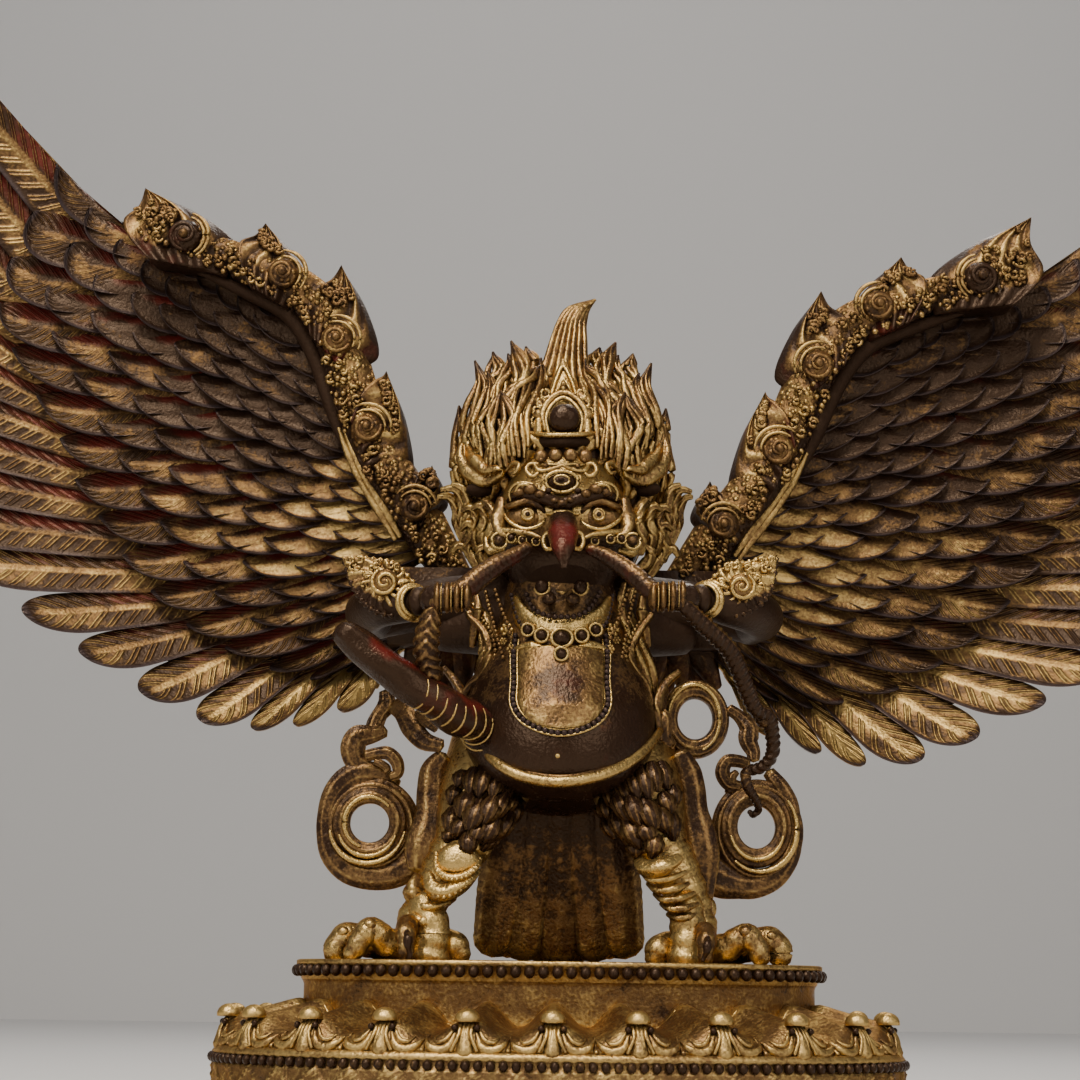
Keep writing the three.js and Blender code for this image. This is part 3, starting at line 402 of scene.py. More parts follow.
class Shade:
    """Shader nodes of one material, made by short calls whose inputs are numbers or other nodes' outputs."""

    def __init__(self, name):
        self.material = bpy.data.materials.new(name)
        self.material.use_nodes = True
        self.tree = self.material.node_tree
        self.shader = self.tree.nodes["Principled BSDF"]
        self.place = self.tree.nodes.new("ShaderNodeTexCoord").outputs["Object"]

    def put(self, socket, value):
        if isinstance(value, bpy.types.NodeSocket):
            self.tree.links.new(value, socket)
        else:
            socket.default_value = value

    def math(self, kind, a, b=0.0, c=0.0):
        node = self.tree.nodes.new("ShaderNodeMath")
        node.operation = kind
        for socket, value in zip(node.inputs, (a, b, c)):
            self.put(socket, value)
        return node.outputs[0]

    def total(self, *terms):
        """Sum of pairs of a value and its weight."""
        result = 0.0
        for value, weight in terms:
            result = self.math("MULTIPLY_ADD", value, weight, result)
        return result

    def step(self, value, low, high):
        """Smooth step from 0 at low to 1 at high."""
        node = self.tree.nodes.new("ShaderNodeMapRange")
        node.interpolation_type = "SMOOTHSTEP"
        for name, entry in (("Value", value), ("From Min", low), ("From Max", high)):
            self.put(node.inputs[name], entry)
        return node.outputs[0]

    def noise(self, scale, detail):
        """Noise centred on nought, on the object's own coordinates."""
        node = self.tree.nodes.new("ShaderNodeTexNoise")
        for name, value in (("Scale", scale), ("Detail", detail), ("Vector", self.place)):
            self.put(node.inputs[name], value)
        return self.math("SUBTRACT", node.outputs[0], 0.5)

    def mix(self, share, a, b):
        node = self.tree.nodes.new("ShaderNodeMix")
        node.data_type = "RGBA"
        for socket, value in ((node.inputs[0], share), (node.inputs[6], a), (node.inputs[7], b)):
            self.put(socket, (*value, 1) if isinstance(value, tuple) else value)
        return node.outputs[2]

    def attribute(self, name):
        node = self.tree.nodes.new("ShaderNodeAttribute")
        node.attribute_name = name
        parts = self.tree.nodes.new("ShaderNodeSeparateColor")
        self.put(parts.inputs[0], node.outputs["Color"])
        return [*parts.outputs[:3], node.outputs["Alpha"]]

    def bump(self, height, distance):
        node = self.tree.nodes.new("ShaderNodeBump")
        node.inputs["Distance"].default_value = distance
        self.put(node.inputs["Height"], height)
        self.put(self.shader.inputs["Normal"], node.outputs[0])


dark_lacquer, red_lacquer, bare_metal = (0.017, 0.008, 0.0045), (0.075, 0.008, 0.006), (0.036, 0.026, 0.027)
thin_gold, full_gold = (0.15, 0.084, 0.034), (0.465, 0.315, 0.11)


def gilt_bronze(name, gilding, polish=0.25, depth=0.75, rough=0.23):
    """Old gilding over lacquered bronze. Cover is the gilding plus noise and polish on ridges, less a depth in
    deep hollows and less bare metal; it runs from dark lacquer, red where the finish asks for it, through thin
    brown gold to full gold. The loss of gold in deep hollows is partly old lacquer and dirt and partly painted
    shade, an occlusion taken from the meshes. On feathers the cosine of the vane's phase, raised to a power,
    draws pairs of fine lines; where the vane's kind is negative the nearest of scattered points raises grains."""
    shade = Shade(name)
    red, bare, gold_bias_and_shade, _ = shade.attribute("finish_and_shade")
    hollow, ridge, _, _ = shade.attribute("wear_and_shade")
    phase, across, kind, tone = shade.attribute("vane")
    broad, middle, fine = shade.noise(45, 3), shade.noise(230, 4), shade.noise(1300, 3)
    rub = shade.step(ridge, 0.56, 0.95)
    # Deep hollows lose their gold: partly old lacquer and dirt, partly painted shade from the occlusion measure
    deep = shade.step(hollow, 0.75, 1.7)

    # Pairs of slanted lines on the vanes, between the shaft and the rim
    side = shade.math("ABSOLUTE", across)
    vane = shade.math("MULTIPLY", shade.math("MAXIMUM", kind, 0.0),
                      shade.math("MULTIPLY", shade.step(side, 0.9, 0.78), shade.step(side, 0.1, 0.22)))
    waves = [shade.math("COSINE", shade.total((phase, 2 * np.pi), (1.0, shift))) for shift in (0.0, 1.9)]
    first, second = (shade.math("POWER", shade.total((wave, 0.5), (1.0, 0.5)), 12.0) for wave in waves)
    lines = shade.math("MULTIPLY", shade.math("MAXIMUM", first, second), vane)

    # Grains of the ornament, where the vane's kind is below nought
    cells = shade.tree.nodes.new("ShaderNodeTexVoronoi")
    cells.inputs["Scale"].default_value = 640
    shade.put(cells.inputs["Vector"], shade.place)
    grained = shade.step(kind, -0.4, -1.0)
    grains = shade.math("MULTIPLY", shade.step(cells.outputs["Distance"], 0.62, 0.15), grained)

    cover = shade.total((gilding, 1.0), (broad, 0.5), (middle, 0.75), (fine, 0.5), (rub, polish), (deep, -depth),
                        (bare, -0.8), (gold_bias_and_shade, 1.0), (red, -0.3), (lines, 0.34), (vane, -0.17), (tone, 0.26),
                        (grains, 0.35), (grained, -0.2))
    lacquer = shade.mix(shade.step(shade.total((red, 1.0), (broad, 0.9), (middle, 0.6)), 0.3, 0.7),
                        dark_lacquer, red_lacquer)
    metal = shade.step(shade.total((bare, 0.9), (middle, 0.4), (deep, -0.5)), 0.4, 0.8)
    lacquer = shade.mix(metal, lacquer, bare_metal)
    thin = shade.step(cover, 0.28, 0.56)
    full = shade.step(shade.total((cover, 1.0), (fine, 0.3)), 0.52, 1.05)
    gold = shade.mix(full, thin_gold, full_gold)
    shade.put(shade.shader.inputs["Base Color"], shade.mix(thin, lacquer, gold))
    shade.put(shade.shader.inputs["Metallic"], shade.total((thin, 0.85), (metal, 0.1), (1.0, 0.05)))
    blackened = shade.math("MINIMUM", gold_bias_and_shade, -1.3)
    roughness = shade.total((thin, 0.1), (full, -0.05), (fine, 0.3), (middle, 0.2), (red, -0.06), (blackened, -0.6),
                            (1.0, rough - 0.78))
    shade.put(shade.shader.inputs["Roughness"], roughness)
    shade.shader.inputs["Specular IOR Level"].default_value = 0.3
    shade.shader.inputs["Specular Tint"].default_value = (1.0, 0.7, 0.48, 1)
    shade.bump(shade.total((middle, 0.5), (fine, 0.4), (lines, 0.45), (grains, 1.1)), 0.0005)
    return shade.material


pedestal.make(gilt_bronze("gilt_lotus_bronze", 0.62, rough=0.31), "pedestal")

# WINGS
# Two cast wings, each tenoned into a lug on the figure's back: a dished sheet of overlapping short feathers, a fan
# of eighteen long ones and a thick ornamented leading edge. Gold lies in the hollows, the rims have worn dark.

shoulder = np.array([36.0, 18.0, 148.3])
right_shift = np.array([1.2, 0.0, -3.2])
reach_unit = 1.51
right_droop = np.radians(4.5)
sheet_thickness = 2.4
inner_edge = [[4.4, -14], [3.8, -4], [5, 7], [9, 19], [14.6, 32.4], [26, 47.4], [54, 61.6]]
covert_edge = [[7, -15.8], [22, -17.4], [42.7, -8], [56.5, 8.7], [67.2, 27.2], [77.5, 49.4], [68, 74]]
tip_edge = [[9, -24], [32, -28.4], [62.7, -13], [95.1, 13], [104.8, 41.9], [102.1, 75.2], [83, 90]]
band_line = [[-5, -1], [2, 10.4], [7.8, 19], [12, 28], [16, 39.6], [22, 49], [34.3, 55.5], [44.5, 60], [52, 63]]
leaf_tips = np.array([[-0.8, 18.5], [7.6, 35.4], [16.1, 54.7], [29.8, 62.3], [51.5, 68.6]]) * reach_unit
right_top_leaf = np.array([52.5, 72]) * reach_unit
outer_valleys = np.array([[1.6, 16.0], [9.3, 33.5], [20.5, 50.0], [34.0, 58.4], [54.8, 62.2]]) * reach_unit
inner_valleys = np.array([[-3.6, 11.5], [2.8, 16.2], [9.2, 38.3], [22.0, 51.9], [35.1, 58.7]]) * reach_unit
boss_spots = np.array([[2, 10.4], [10.6, 24.5], [16.4, 40.4], [26.2, 52.3], [43.8, 59]]) * reach_unit
left_pit_feathers = [(-29.1, 20, 142.5), (-40.6, 20, 119.1), (-36.7, 22, 115.2), (-32.6, 20, 113.4),
                     (-28.8, 22, 114.8), (-25.2, 20, 117.7), (-21.4, 21, 122.6)]
right_pit_feathers = [(26.6, 20, 141.1), (23.5, 20, 118.9), (27.5, 22, 118.2), (31.6, 20, 119.3),
                      (35.9, 22, 120.7), (40.2, 20, 119.7)]
long_count = 18
row_steps = np.array([13.5, 11.6, 10.0, 8.6, 7.4, 6.6, 6.0, 5.8, 5.6])
row_counts = np.array([16, 16, 16, 16, 17, 17, 17, 16, 16])


def dish(reach):
    """Depth of the sheet: a sine swell of the reach's share raised to 0.75, less a square that brings the tips
    forward. Reach is 0 under the band, 1 at the last short row and 2 at the tips."""
    share = np.clip(reach / 2, 0, 1.1)
    return 7 * np.sin(np.pi * np.minimum(share, 1) ** 0.75) - 6 * share**2 + sheet_thickness


def edge_points(share):
    """Inner, covert and tip edges at the same share of their length, as smooth lines through the named points."""
    flat = np.clip(np.ravel(share), 0, 1)
    lines = [smooth_line(np.insert(np.array(edge) * reach_unit, 1, 0, axis=1), flat)
             for edge in (inner_edge, covert_edge, tip_edge)]
    return [line.reshape(*np.shape(share), 3) for line in lines]


def on_wing(side, u, depth, v):
    """Wing coordinates (out, depth, up) to the object's own. The right wing is shifted and turned down by its
    droop."""
    turn = right_droop if side > 0 else 0.0
    root = shoulder + right_shift if side > 0 else shoulder
    out = u * np.cos(turn) + v * np.sin(turn)
    up = v * np.cos(turn) - u * np.sin(turn)
    return np.stack([side * (root[0] + out), root[1] + depth + 0 * out, root[2] + up], axis=-1)


def on_sheet(side, share, distance, lift):
    """Point on the ray at a share of the edges, a distance in from the covert edge and a lift off the sheet:
    inside it slides towards the inner edge, outside towards the tip edge, and the dish gives its depth."""
    share, distance, lift = np.broadcast_arrays(share, distance, lift)
    inner, covert, tip = edge_points(share)
    inside = distance >= 0
    goal = np.where(inside[..., None], inner, tip)
    part = np.abs(distance) / np.linalg.norm(goal - covert, axis=-1)
    spot = covert + (goal - covert) * part[..., None]
    return on_wing(side, spot[..., 0], dish(np.where(inside, 1 - part, 1 + part)) - lift, spot[..., 2])


def feathers(side, share, near, far, half, rows, columns, lift, roll, hook, taper, blunt, pitch, barbs, red, seed):
    """Feathers side by side, each from near to far along its ray. With g one minus a quarter circle that starts at
    the blunt share of the length, the lower edge is (1 + hook) g - 1 and the upper 1 - (1 - hook) g, both
    narrowed by the taper. The height is a lift that grows to the tip, a roll that brings the lower edge forward,
    a dome across, a thick rim at the lower edge and the tip, a double shaft and soft ridges that slant away from
    it once every pitch. The lower half of a long one has worn dark in patches, and red lacquer shows along the
    upper half."""
    random = np.random.default_rng(seed)
    share, near, far = (np.asarray(value, float)[:, None, None] for value in (share, near, far))
    v = np.sin(np.linspace(0, np.pi / 2, rows))[:, None]
    bend = np.clip((v - blunt) / (1 - blunt), 0, 1)
    shrink = 1 - np.sqrt(1 - bend**2.2 * 0.9999)
    inside = np.linspace(-0.93, 0.93, columns)
    across = np.r_[-1, inside, 1, np.linspace(0.85, -0.85, 4)]
    face = np.r_[0.5, np.ones(columns), 0.5, np.zeros(4)]
    root = 0.85 + 0.15 * np.minimum(4 * v, 1)
    low = -root + (1 + hook) * shrink
    high = root - (1 - hook) * shrink
    middle, spread = (low + high) / 2, (high - low) / 2 * (1 - taper * v)
    place = middle + spread * across
    spot = share + half * (place + random.normal(0, 0.07, share.shape) * v**2)
    length = near - far + random.normal(0, 0.5, share.shape)
    rise = lift * v**1.5 * random.uniform(0.85, 1.2, share.shape) - roll * place * (0.3 + 0.7 * v)
    dome = 0.5 * (1 - across**2) * spread
    rim = np.exp(-(((1 + across) / 0.2) ** 2)) * np.minimum(3 * v, 1)
    rim = np.maximum(rim, np.exp(-(((1 - v) / 0.05) ** 2)) * (np.abs(across) < 1))
    shaft = (np.exp(-(((across - 0.2) / 0.08) ** 2)) + np.exp(-(((across - 0.02) / 0.08) ** 2))) * (1 - v**8)
    phase = (v * length - np.abs(across - 0.1) * half * 240) / pitch
    ridge = 0.2 * min(barbs, 1.6 - barbs) * np.cos(2 * np.pi * phase) * (across < -0.1) * (across > -0.85)
    streaks = 0.16 * (1 - min(barbs, 1)) * np.cos(13 * across + 3 * v) * (across > -0.8)
    height = rise + dome + 0.6 * rim + 0.2 * shaft + ridge + streaks
    height = height * np.minimum(2 * face, 1) + (face < 1) * (rise - 1.5 * (1 - face) - height * (face < 0.5))
    grid = on_sheet(side, spot, near - length * v, height)
    tone = np.broadcast_to(random.random(share.shape) - 0.5, spot.shape)
    vane = np.stack(np.broadcast_arrays(phase, across - 0.1, (face == 1) * barbs, tone), axis=-1)
    worn = np.clip(np.exp(-(((1 + across) / 0.26) ** 2)) + np.exp(-(((1 - v) / 0.06) ** 2)), 0, 1)
    worn = worn * np.minimum(2.5 * v, 1)
    patch = np.clip(0.35 + 0.75 * np.sin(9 * v + 6.3 * random.random(share.shape)), 0, 1)
    patch = patch * np.clip(4 * v - 0.6, 0, 1)
    worn = np.maximum(worn, 0.5 * patch * np.clip(-6 * across, 0, 1) * max(2 * barbs - 1.6, 0))
    upper = np.clip(2.5 * across, 0, 1) * (1 - v**3)
    finish_and_shade = shades(0.5 * red * upper, worn, -0.42 * red * upper)
    order = np.r_[0, np.arange(rows), rows - 1]
    return grid[:, order], vane[:, order], finish_and_shade[:, order]


def leaf(side, outer_valley, tip, inner_valley):
    """Shark-fin plate of the leading edge between two valleys of its outline: a short hollow side rises to the tip
    and a long full one falls from it, and both also run inwards under the band. Raised rims follow both sides, and
    flame ridges, cosines of the share across, lean towards the tip."""
    rows, columns = 32, 33
    chord = unit_of(outer_valley - inner_valley)
    inward = np.array([chord[1], -chord[0]])
    inward = inward * np.sign(np.dot(inward, inner_valley - tip))
    v = np.linspace(0, 1, rows)
    edges = []
    for valley, bow, lean in ((outer_valley, -0.12, chord), (inner_valley, 0.07, 0 * chord)):
        rise = tip - valley
        away = np.array([-rise[1], rise[0]])
        away = away * np.sign(np.dot(away, valley - (outer_valley + inner_valley) / 2))
        path = [valley + inward * 10 - lean * 9, valley + inward * 4.5 - lean * 2.2, valley,
                valley + rise * 0.5 + away * bow, tip]
        edges.append(smooth_line(np.insert(path, 2, 0, axis=1), v)[:, :2])
    across = np.r_[np.linspace(0, 1, columns), np.linspace(0.93, 0.07, 5)][:, None]
    face = np.r_[np.ones(columns), np.zeros(5)]
    spot = edges[0][:, None] + (edges[1] - edges[0])[:, None] * across
    share, rise = across[:, 0], v[:, None]
    rim = np.exp(-((np.minimum(share, 1 - share) / 0.07) ** 2))
    flame = np.cos(2 * np.pi * (share * 4.5 - 1.6 * rise**1.5)) * np.sin(np.pi * share) ** 0.5 * (1 - rise) ** 0.3
    bevel = np.clip((share - 0.7) / 0.3, 0, 1)
    front = 7.2 - 4.0 * rise + 0.7 * rim * (share < 0.5) + 0.7 * flame * (1 - bevel) - 3.6 * bevel**1.2
    height = np.where(face > 0, front, -1.5 + 1.2 * rise)
    grid = on_wing(side, spot[..., 0], -height, spot[..., 1])
    # The lowest part, which tucks in under the band, is darkened as painted shade; bevel and rims are rubbed bare
    finish_and_shade = shades(0.25, face * np.maximum(bevel, rim * rise) * 0.5,
                    0.3 * flame - 0.1 - 0.2 * bevel - 0.9 * np.clip(1 - 3 * rise, 0, 1))
    return capped(grid), capped(finish_and_shade)


def scroll_path(radius, turns, start, tight=0.18, count=40):
    """Spiral in a plane: the radius shrinks from full to tight while the angle runs through its turns."""
    share = np.linspace(0, 1, count)
    angle = start + share * turns * 2 * np.pi
    size = radius * (1 - (1 - tight) * share)
    return np.stack([size * np.cos(angle), size * np.sin(angle)], axis=-1)


def spun(curve, spin):
    """A flat curve turned about its middle by each of the angles in a column."""
    return np.stack([curve[:, 0] * np.cos(spin) - curve[:, 1] * np.sin(spin),
                     curve[:, 0] * np.sin(spin) + curve[:, 1] * np.cos(spin)], axis=-1)


def make_wing(side, name):
    """One wing: base sheet, rows of short feathers, long feathers, then the band with leaves, scrolls and grains."""
    wing = Casting(name, "wing_bronze")
    random = np.random.default_rng(11 if side < 0 else 12)
    wing_red = 1.0 if side < 0 else 0.4

    shares = np.linspace(0, 1, 76)[:, None]
    inner, covert, tip = edge_points(shares[:, 0])
    room = np.linalg.norm(inner - covert, axis=-1)[:, None]
    vane_length = np.linalg.norm(tip - covert, axis=-1)[:, None]
    reach = np.r_[np.linspace(0, 1.5, 8), np.linspace(1.5, 0, 70)]
    behind = np.r_[np.zeros(8), np.ones(70)]
    distance = np.where(reach < 1, room * (1 - reach), -vane_length * (reach - 1))
    scallop = 0.5 * np.abs(np.sin(np.pi * long_count * shares)) ** 0.8
    step = np.mod(4.5 * (reach - 1.5) - scallop, 1)
    lift = np.where(behind > 0, -sheet_thickness + 0.7 - 1.3 * (1 - step) ** 0.7, -0.5)
    sheet = on_sheet(side, shares, distance, lift)
    wing.add(capped(sheet), capped(shades(0.1, 0, -0.1 - 0.55 * step**3)))

    edges = np.r_[0, np.cumsum(row_steps)]
    for row, (step, count) in enumerate(zip(row_steps, row_counts)):
        share = (np.arange(count) + (0.25 if row % 2 else 0.75)) / count
        inner, covert, _ = edge_points(share)
        room = np.linalg.norm(inner - covert, axis=-1)
        kept = edges[row] < room - 2.5
        share, room = share[kept], room[kept]
        far = np.full(share.shape, edges[row]) - 0.1 * step
        near = np.minimum(far + 2.15 * step, room + 3)
        fine = row < 3
        grid, vane, finish_and_shade = feathers(
            side, share, near, far, half=0.64 / count, rows=15 if fine else 12, columns=11 if fine else 9,
            lift=2.7 - 0.12 * row, roll=1.7 - 0.08 * row, hook=0.6, taper=0, blunt=0.42, pitch=2.6 - 0.1 * row,
            barbs=(1, 0.5, 0)[min(row, 2)], red=wing_red if row < 4 else 0.2, seed=100 * row + 5 + side)
        # Painted shadow of the proud leading edge: the upper inner feathers lose gold and red towards the band
        shade = np.clip((share - 0.42) / 0.2, 0, 1) * np.clip(row / 3, 0.2, 1)
        finish_and_shade = finish_and_shade + shades(0.25 - 0.1 * shade, 0, 0.06 * min(row, 4) - 0.1 - 0.6 * shade)[:, None, None]
        wing.add(grid, finish_and_shade, vane=vane)

    share = (np.arange(long_count) + 0.5) / long_count
    _, covert, tip = edge_points(share)
    length = np.linalg.norm(covert - tip, axis=-1)
    grid, vane, finish_and_shade = feathers(
        side, share, np.full(long_count, 10.0), -length, half=0.61 / long_count, rows=36, columns=15, lift=1.2,
        roll=0.9, hook=0.14, taper=0.22, blunt=0.7, pitch=4.2, barbs=1.3, red=min(wing_red, 0.8), seed=40 + side)
    low = np.clip(0.45 - share, 0, 1)[:, None, None, None]
    wing.add(grid, finish_and_shade + (0.15, 0, -0.06) + low * (-0.2, -0.3, 0.9), vane=vane)

    # Feathers that hang from the armpit, dark red-brown: partly painted shade of the hollow under the arm
    start, *tips = left_pit_feathers if side < 0 else right_pit_feathers
    for tip in tips:
        root = np.array(start) + (0.2 * (tip[0] - start[0]), 0, 0)
        wing.add(bar([root, (root + tip) / 2 + (0, -1.2, 0), tip], [2.5, 4.0, 3.6, 1.4], 24, 20, flat=0.3,
                     across=(1, 0, 0), relief=lambda length, turn: 0.2 * np.cos(8 * turn)), (0.4, 0.1, -0.2))

    def over_band(where, out, depth):
        """Point over the band: a share along its line, out from it towards the outline, and a depth."""
        shares = np.linspace(0, 1, 400)
        line = smooth_line(np.insert(np.array(band_line) * reach_unit, 1, 0, axis=1), shares)[:, [0, 2]]
        way = unit_of(np.gradient(line, axis=0))
        spot, way = (np.stack([np.interp(where, shares, part[:, k]) for k in (0, 1)], axis=-1) for part in (line, way))
        spot = spot + np.stack([-way[..., 1], way[..., 0]], axis=-1) * np.asarray(out)[..., None]
        return spot, on_wing(side, spot[..., 0], depth, spot[..., 1])

    _, band = over_band(np.linspace(0, 1, 60), np.zeros(60), -0.5)
    turn = np.arange(26) / 26 * 2 * np.pi
    # The band's underside is darkened: painted shade below the proud leading edge
    below = np.exp(-(((turn - np.pi * (1 + 0.4 * side)) / 0.55) ** 2))
    wing.add(bar(band, [4.4, 5.8, 6.2, 6.0, 5.8, 5.8, 5.4, 3.6, 1.0], 110, 26, 1.1, (0, 1, 0)),
             shades(0.1, 0, -0.05 - 0.9 * below)[None], vane=(0, 0, -1, 0))
    tips = leaf_tips if side < 0 else np.concatenate([leaf_tips[:-1], right_top_leaf[None]])
    for outer_valley, tip, inner_valley in zip(outer_valleys, tips, inner_valleys):
        wing.add(*leaf(side, outer_valley, tip, inner_valley))
        weight = 0.85 * random.dirichlet((2.2, 2.6, 1.8), 13) + 0.05
        curl = spun(scroll_path(1.0, 1.2, 0, 0.3, 12), random.random(13)[:, None] * 6.3)
        spot = (weight @ [outer_valley, tip, inner_valley])[:, None] + (1.6 - 1.2 * weight[:, 1:2])[..., None] * curl
        depth = -7.3 + 4.0 * weight[:, 1:2] + 0 * spot[..., 0]
        wing.add(bar(on_wing(side, spot[..., 0], depth, spot[..., 1]), [0.4, 0.6, 0.5, 0.3], 12, 6),
                 (0.15, 0.05, -0.15))
    for i, boss in enumerate(boss_spots):
        size = (3.9, 4.3, 4.3, 4.2, 4.6)[i]
        jewel = (0.3, 0.1, -0.5 if i == 4 else -0.15)
        wing.add(lump(on_wing(side, boss[0], -6.4, boss[1]), (size, 2.8, size), 12, 20), jewel, vane=(0, 0, -0.7, 0))
        spiral = boss + scroll_path(size - 0.6, 1.5, 0.6 * i + 2.4)
        height = np.linspace(-7.9, -9.6, 40)
        wing.add(bar(on_wing(side, spiral[:, 0], height, spiral[:, 1]), [0.5, 0.7, 0.65, 0.5], 50, 7), jewel)
        wing.add(lump(on_wing(side, boss[0], -9.5, boss[1]), (1.3, 1.2, 1.3), 8, 10), (0.1, 0.4, 0))
        halo = np.radians(np.linspace(40, 170, 24)) + 0.3 * i
        for reach, thick in ((1.12, 0.5), (1.5, 0.6)) if i < 4 else ((1.15, 0.6), (1.4, 0.6)):
            arc = boss + np.stack([np.cos(halo), np.sin(halo)], axis=-1) * size * reach
            wing.add(bar(on_wing(side, arc[:, 0], -7.4 + 0 * halo, arc[:, 1]), [0.3, thick, thick, 0.3], 26, 6))

    count = 84
    where = (np.arange(count) + random.random(count)) / count * 0.97 + 0.015
    flat, _ = over_band(where, random.uniform(-5.2, 1.8, count), 0.0)
    free = np.min(np.linalg.norm(flat[:, None] - boss_spots, axis=-1), axis=1) > 6.2
    flat = flat[free]
    size = random.uniform(0.9, 1.6, len(flat))[:, None]
    curls = spun(scroll_path(1.0, 1.1, 0, 0.35, 10), random.random(len(flat))[:, None] * 2 * np.pi)
    spot = flat[:, None] + curls * size[..., None]
    height = -7.0 + random.uniform(-0.6, 0.9, len(flat))[:, None] + 0 * spot[..., 0]
    wing.add(bar(on_wing(side, spot[..., 0], height, spot[..., 1]), [0.45, 0.6, 0.45], 9, 6, flat=1.5),
             (0.1, 0, -0.12))

    count = 300
    _, spot = over_band(random.random(count) * 0.97 + 0.015, random.uniform(-5.8, 2.2, count),
                        -6.6 + random.uniform(-0.8, 0.8, count))
    size = random.uniform(0.4, 0.95, count)
    wing.add(lump(spot, size[:, None] * (1, 0.9, 1), 5, 6), (0.1, 0, -0.15))

    for offset, size in ((-6.9, 0.7), (-8.4, 0.55)):
        _, line = over_band(np.linspace(0.1, 0.36, 9), np.linspace(offset, offset + 1.5, 9), -3.0)
        wing.add(bar(line, [size * 0.6, size * 1.3, size, size * 1.2, size * 0.5], 40, 7, flat=1.6, across=(0, 1, 0)))
    # A blackened bar along the band's inner side: painted shadow of the gap between the band and the feathers
    _, line = over_band(np.linspace(0.28, 0.86, 9), np.full(9, -7.0), -1.6)
    wing.add(bar(line, [0.8, 2.0, 2.3, 2.2, 1.6, 0.6], 50, 9, across=(0, 1, 0)), (0, 0, -1.8))

    # Tang that joins the wing to the body
    near, far, front, back, bottom, top = side * 19.15, side * 45.15, 10.5, 25.5, 128.3, 148.3
    block = np.array([[x, y, z] for x in (near, near, far, far)
                      for y, z in ((front, bottom), (back, bottom), (back, top), (front, top))]).reshape(4, 4, 3)
    wing.add(block, (0, 0, -0.6))
    return wing


left_wing = make_wing(-1, "left_wing_feathers")
right_wing = make_wing(1, "right_wing_feathers")
wing_metal = gilt_bronze("gilt_feather_bronze", 0.72, 0.1, 0.35, 0.38)
left_wing.make(wing_metal, "left_wing")
right_wing.make(wing_metal, "right_wing")

# TORSO
# The figure is one casting. Its torso is a smooth lacquered belly that hangs over a rolled lip, a gilt bib edged
# with beads, a collar with set stones and folded sashes that run from the armpits to the hips.

figure_metal = gilt_bronze("gilt_figure_bronze", 0.64)


def stack(sections, rows, columns, relief=None):
    """Closed stack of ovals: height, middle x and y, half width and half depth run smoothly through the named
    sections, and every ring is its middle plus both halves times sine and cosine of the turn."""
    line = smooth_line(np.array(sections, float), np.linspace(0, 1, rows))
    turn = np.arange(columns) / columns * 2 * np.pi
    height, x, y, wide, deep = (line[:, k, None] for k in range(5))
    swell = 0 if relief is None else relief(height, turn)
    grid = np.stack([x + (wide + swell) * np.sin(turn), y - (deep + swell) * np.cos(turn),
                     np.broadcast_to(height, (rows, columns))], axis=-1)
    return capped(grid)


torso_sections = np.array([
    [86.6, -0.8, -17, 7, 7], [88.4, -0.8, -16.4, 13, 11], [91, -0.8, -15.1, 18.1, 15], [97.7, -0.8, -12.2, 22.4, 19.2],
    [107.8, -0.8, -9.4, 23.6, 20.3], [117.2, -0.8, -7.4, 21.4, 18.2], [127.3, -0.8, -5.6, 17.4, 15.4],
    [138, -0.8, -5.2, 14.4, 13.6], [146, -0.8, -6, 12, 12]])


def on_chest(x, z, lift=0.0):
    """Point of the torso's front at an x and a height, lifted off along y: the oval of that height solved for y."""
    x, z = np.broadcast_arrays(np.asarray(x, float), np.asarray(z, float))
    middle, y, wide, deep = (np.interp(z, torso_sections[:, 0], torso_sections[:, k]) for k in (1, 2, 3, 4))
    share = np.clip((x - middle) / wide, -0.97, 0.97)
    return np.stack([x, y - deep * np.sqrt(1 - share**2) - lift, z], axis=-1)


def chest_line(path, lift=0.0, count=40):
    """Smooth line through positions (x, any, z), laid onto the torso's front with a lift."""
    line = smooth_line(path, np.linspace(0, 1, count))
    return on_chest(line[:, 0], line[:, 2], lift)


def string_of(path, radius, pitch, rows=7, columns=9):
    """Beads strung along a line at an even pitch."""
    length = np.linalg.norm(np.diff(np.asarray(path), axis=0), axis=1).sum()
    centre = even_line(path, max(2, int(length / pitch)))
    return lump(centre, radius, rows, columns)


def grooves(depth, count, phase=0.0):
    """Relief of grooves that run along a bar: depth times the cosine of count turns."""
    return lambda length, turn: depth * np.cos(count * turn + phase)


def stone(centre, radius, casting):
    """Round stone in a collar: a dark dome with a ring about it, both facing forwards."""
    turn = np.linspace(0, 2 * np.pi, 21)[:-1]
    wide, tall = np.broadcast_to(radius, 2)
    casting.add(lump(centre, (wide * 0.8, min(wide, tall) * 0.75, tall * 0.8), 9, 14), (0, 0.25, -1))
    ring = np.stack([wide * np.cos(turn), 0 * turn, tall * np.sin(turn)], axis=-1)
    tube = np.arange(6) / 6 * 2 * np.pi
    size = 0.2 * min(wide, tall) + 0.08
    grid = centre + ring[:, None] * (1 + size / wide * np.cos(tube)[:, None]) + size * np.sin(tube)[:, None] * (0, 1,
                                                                                                                0)
    casting.add(grid, (0, 0, 0.6), ring=True)


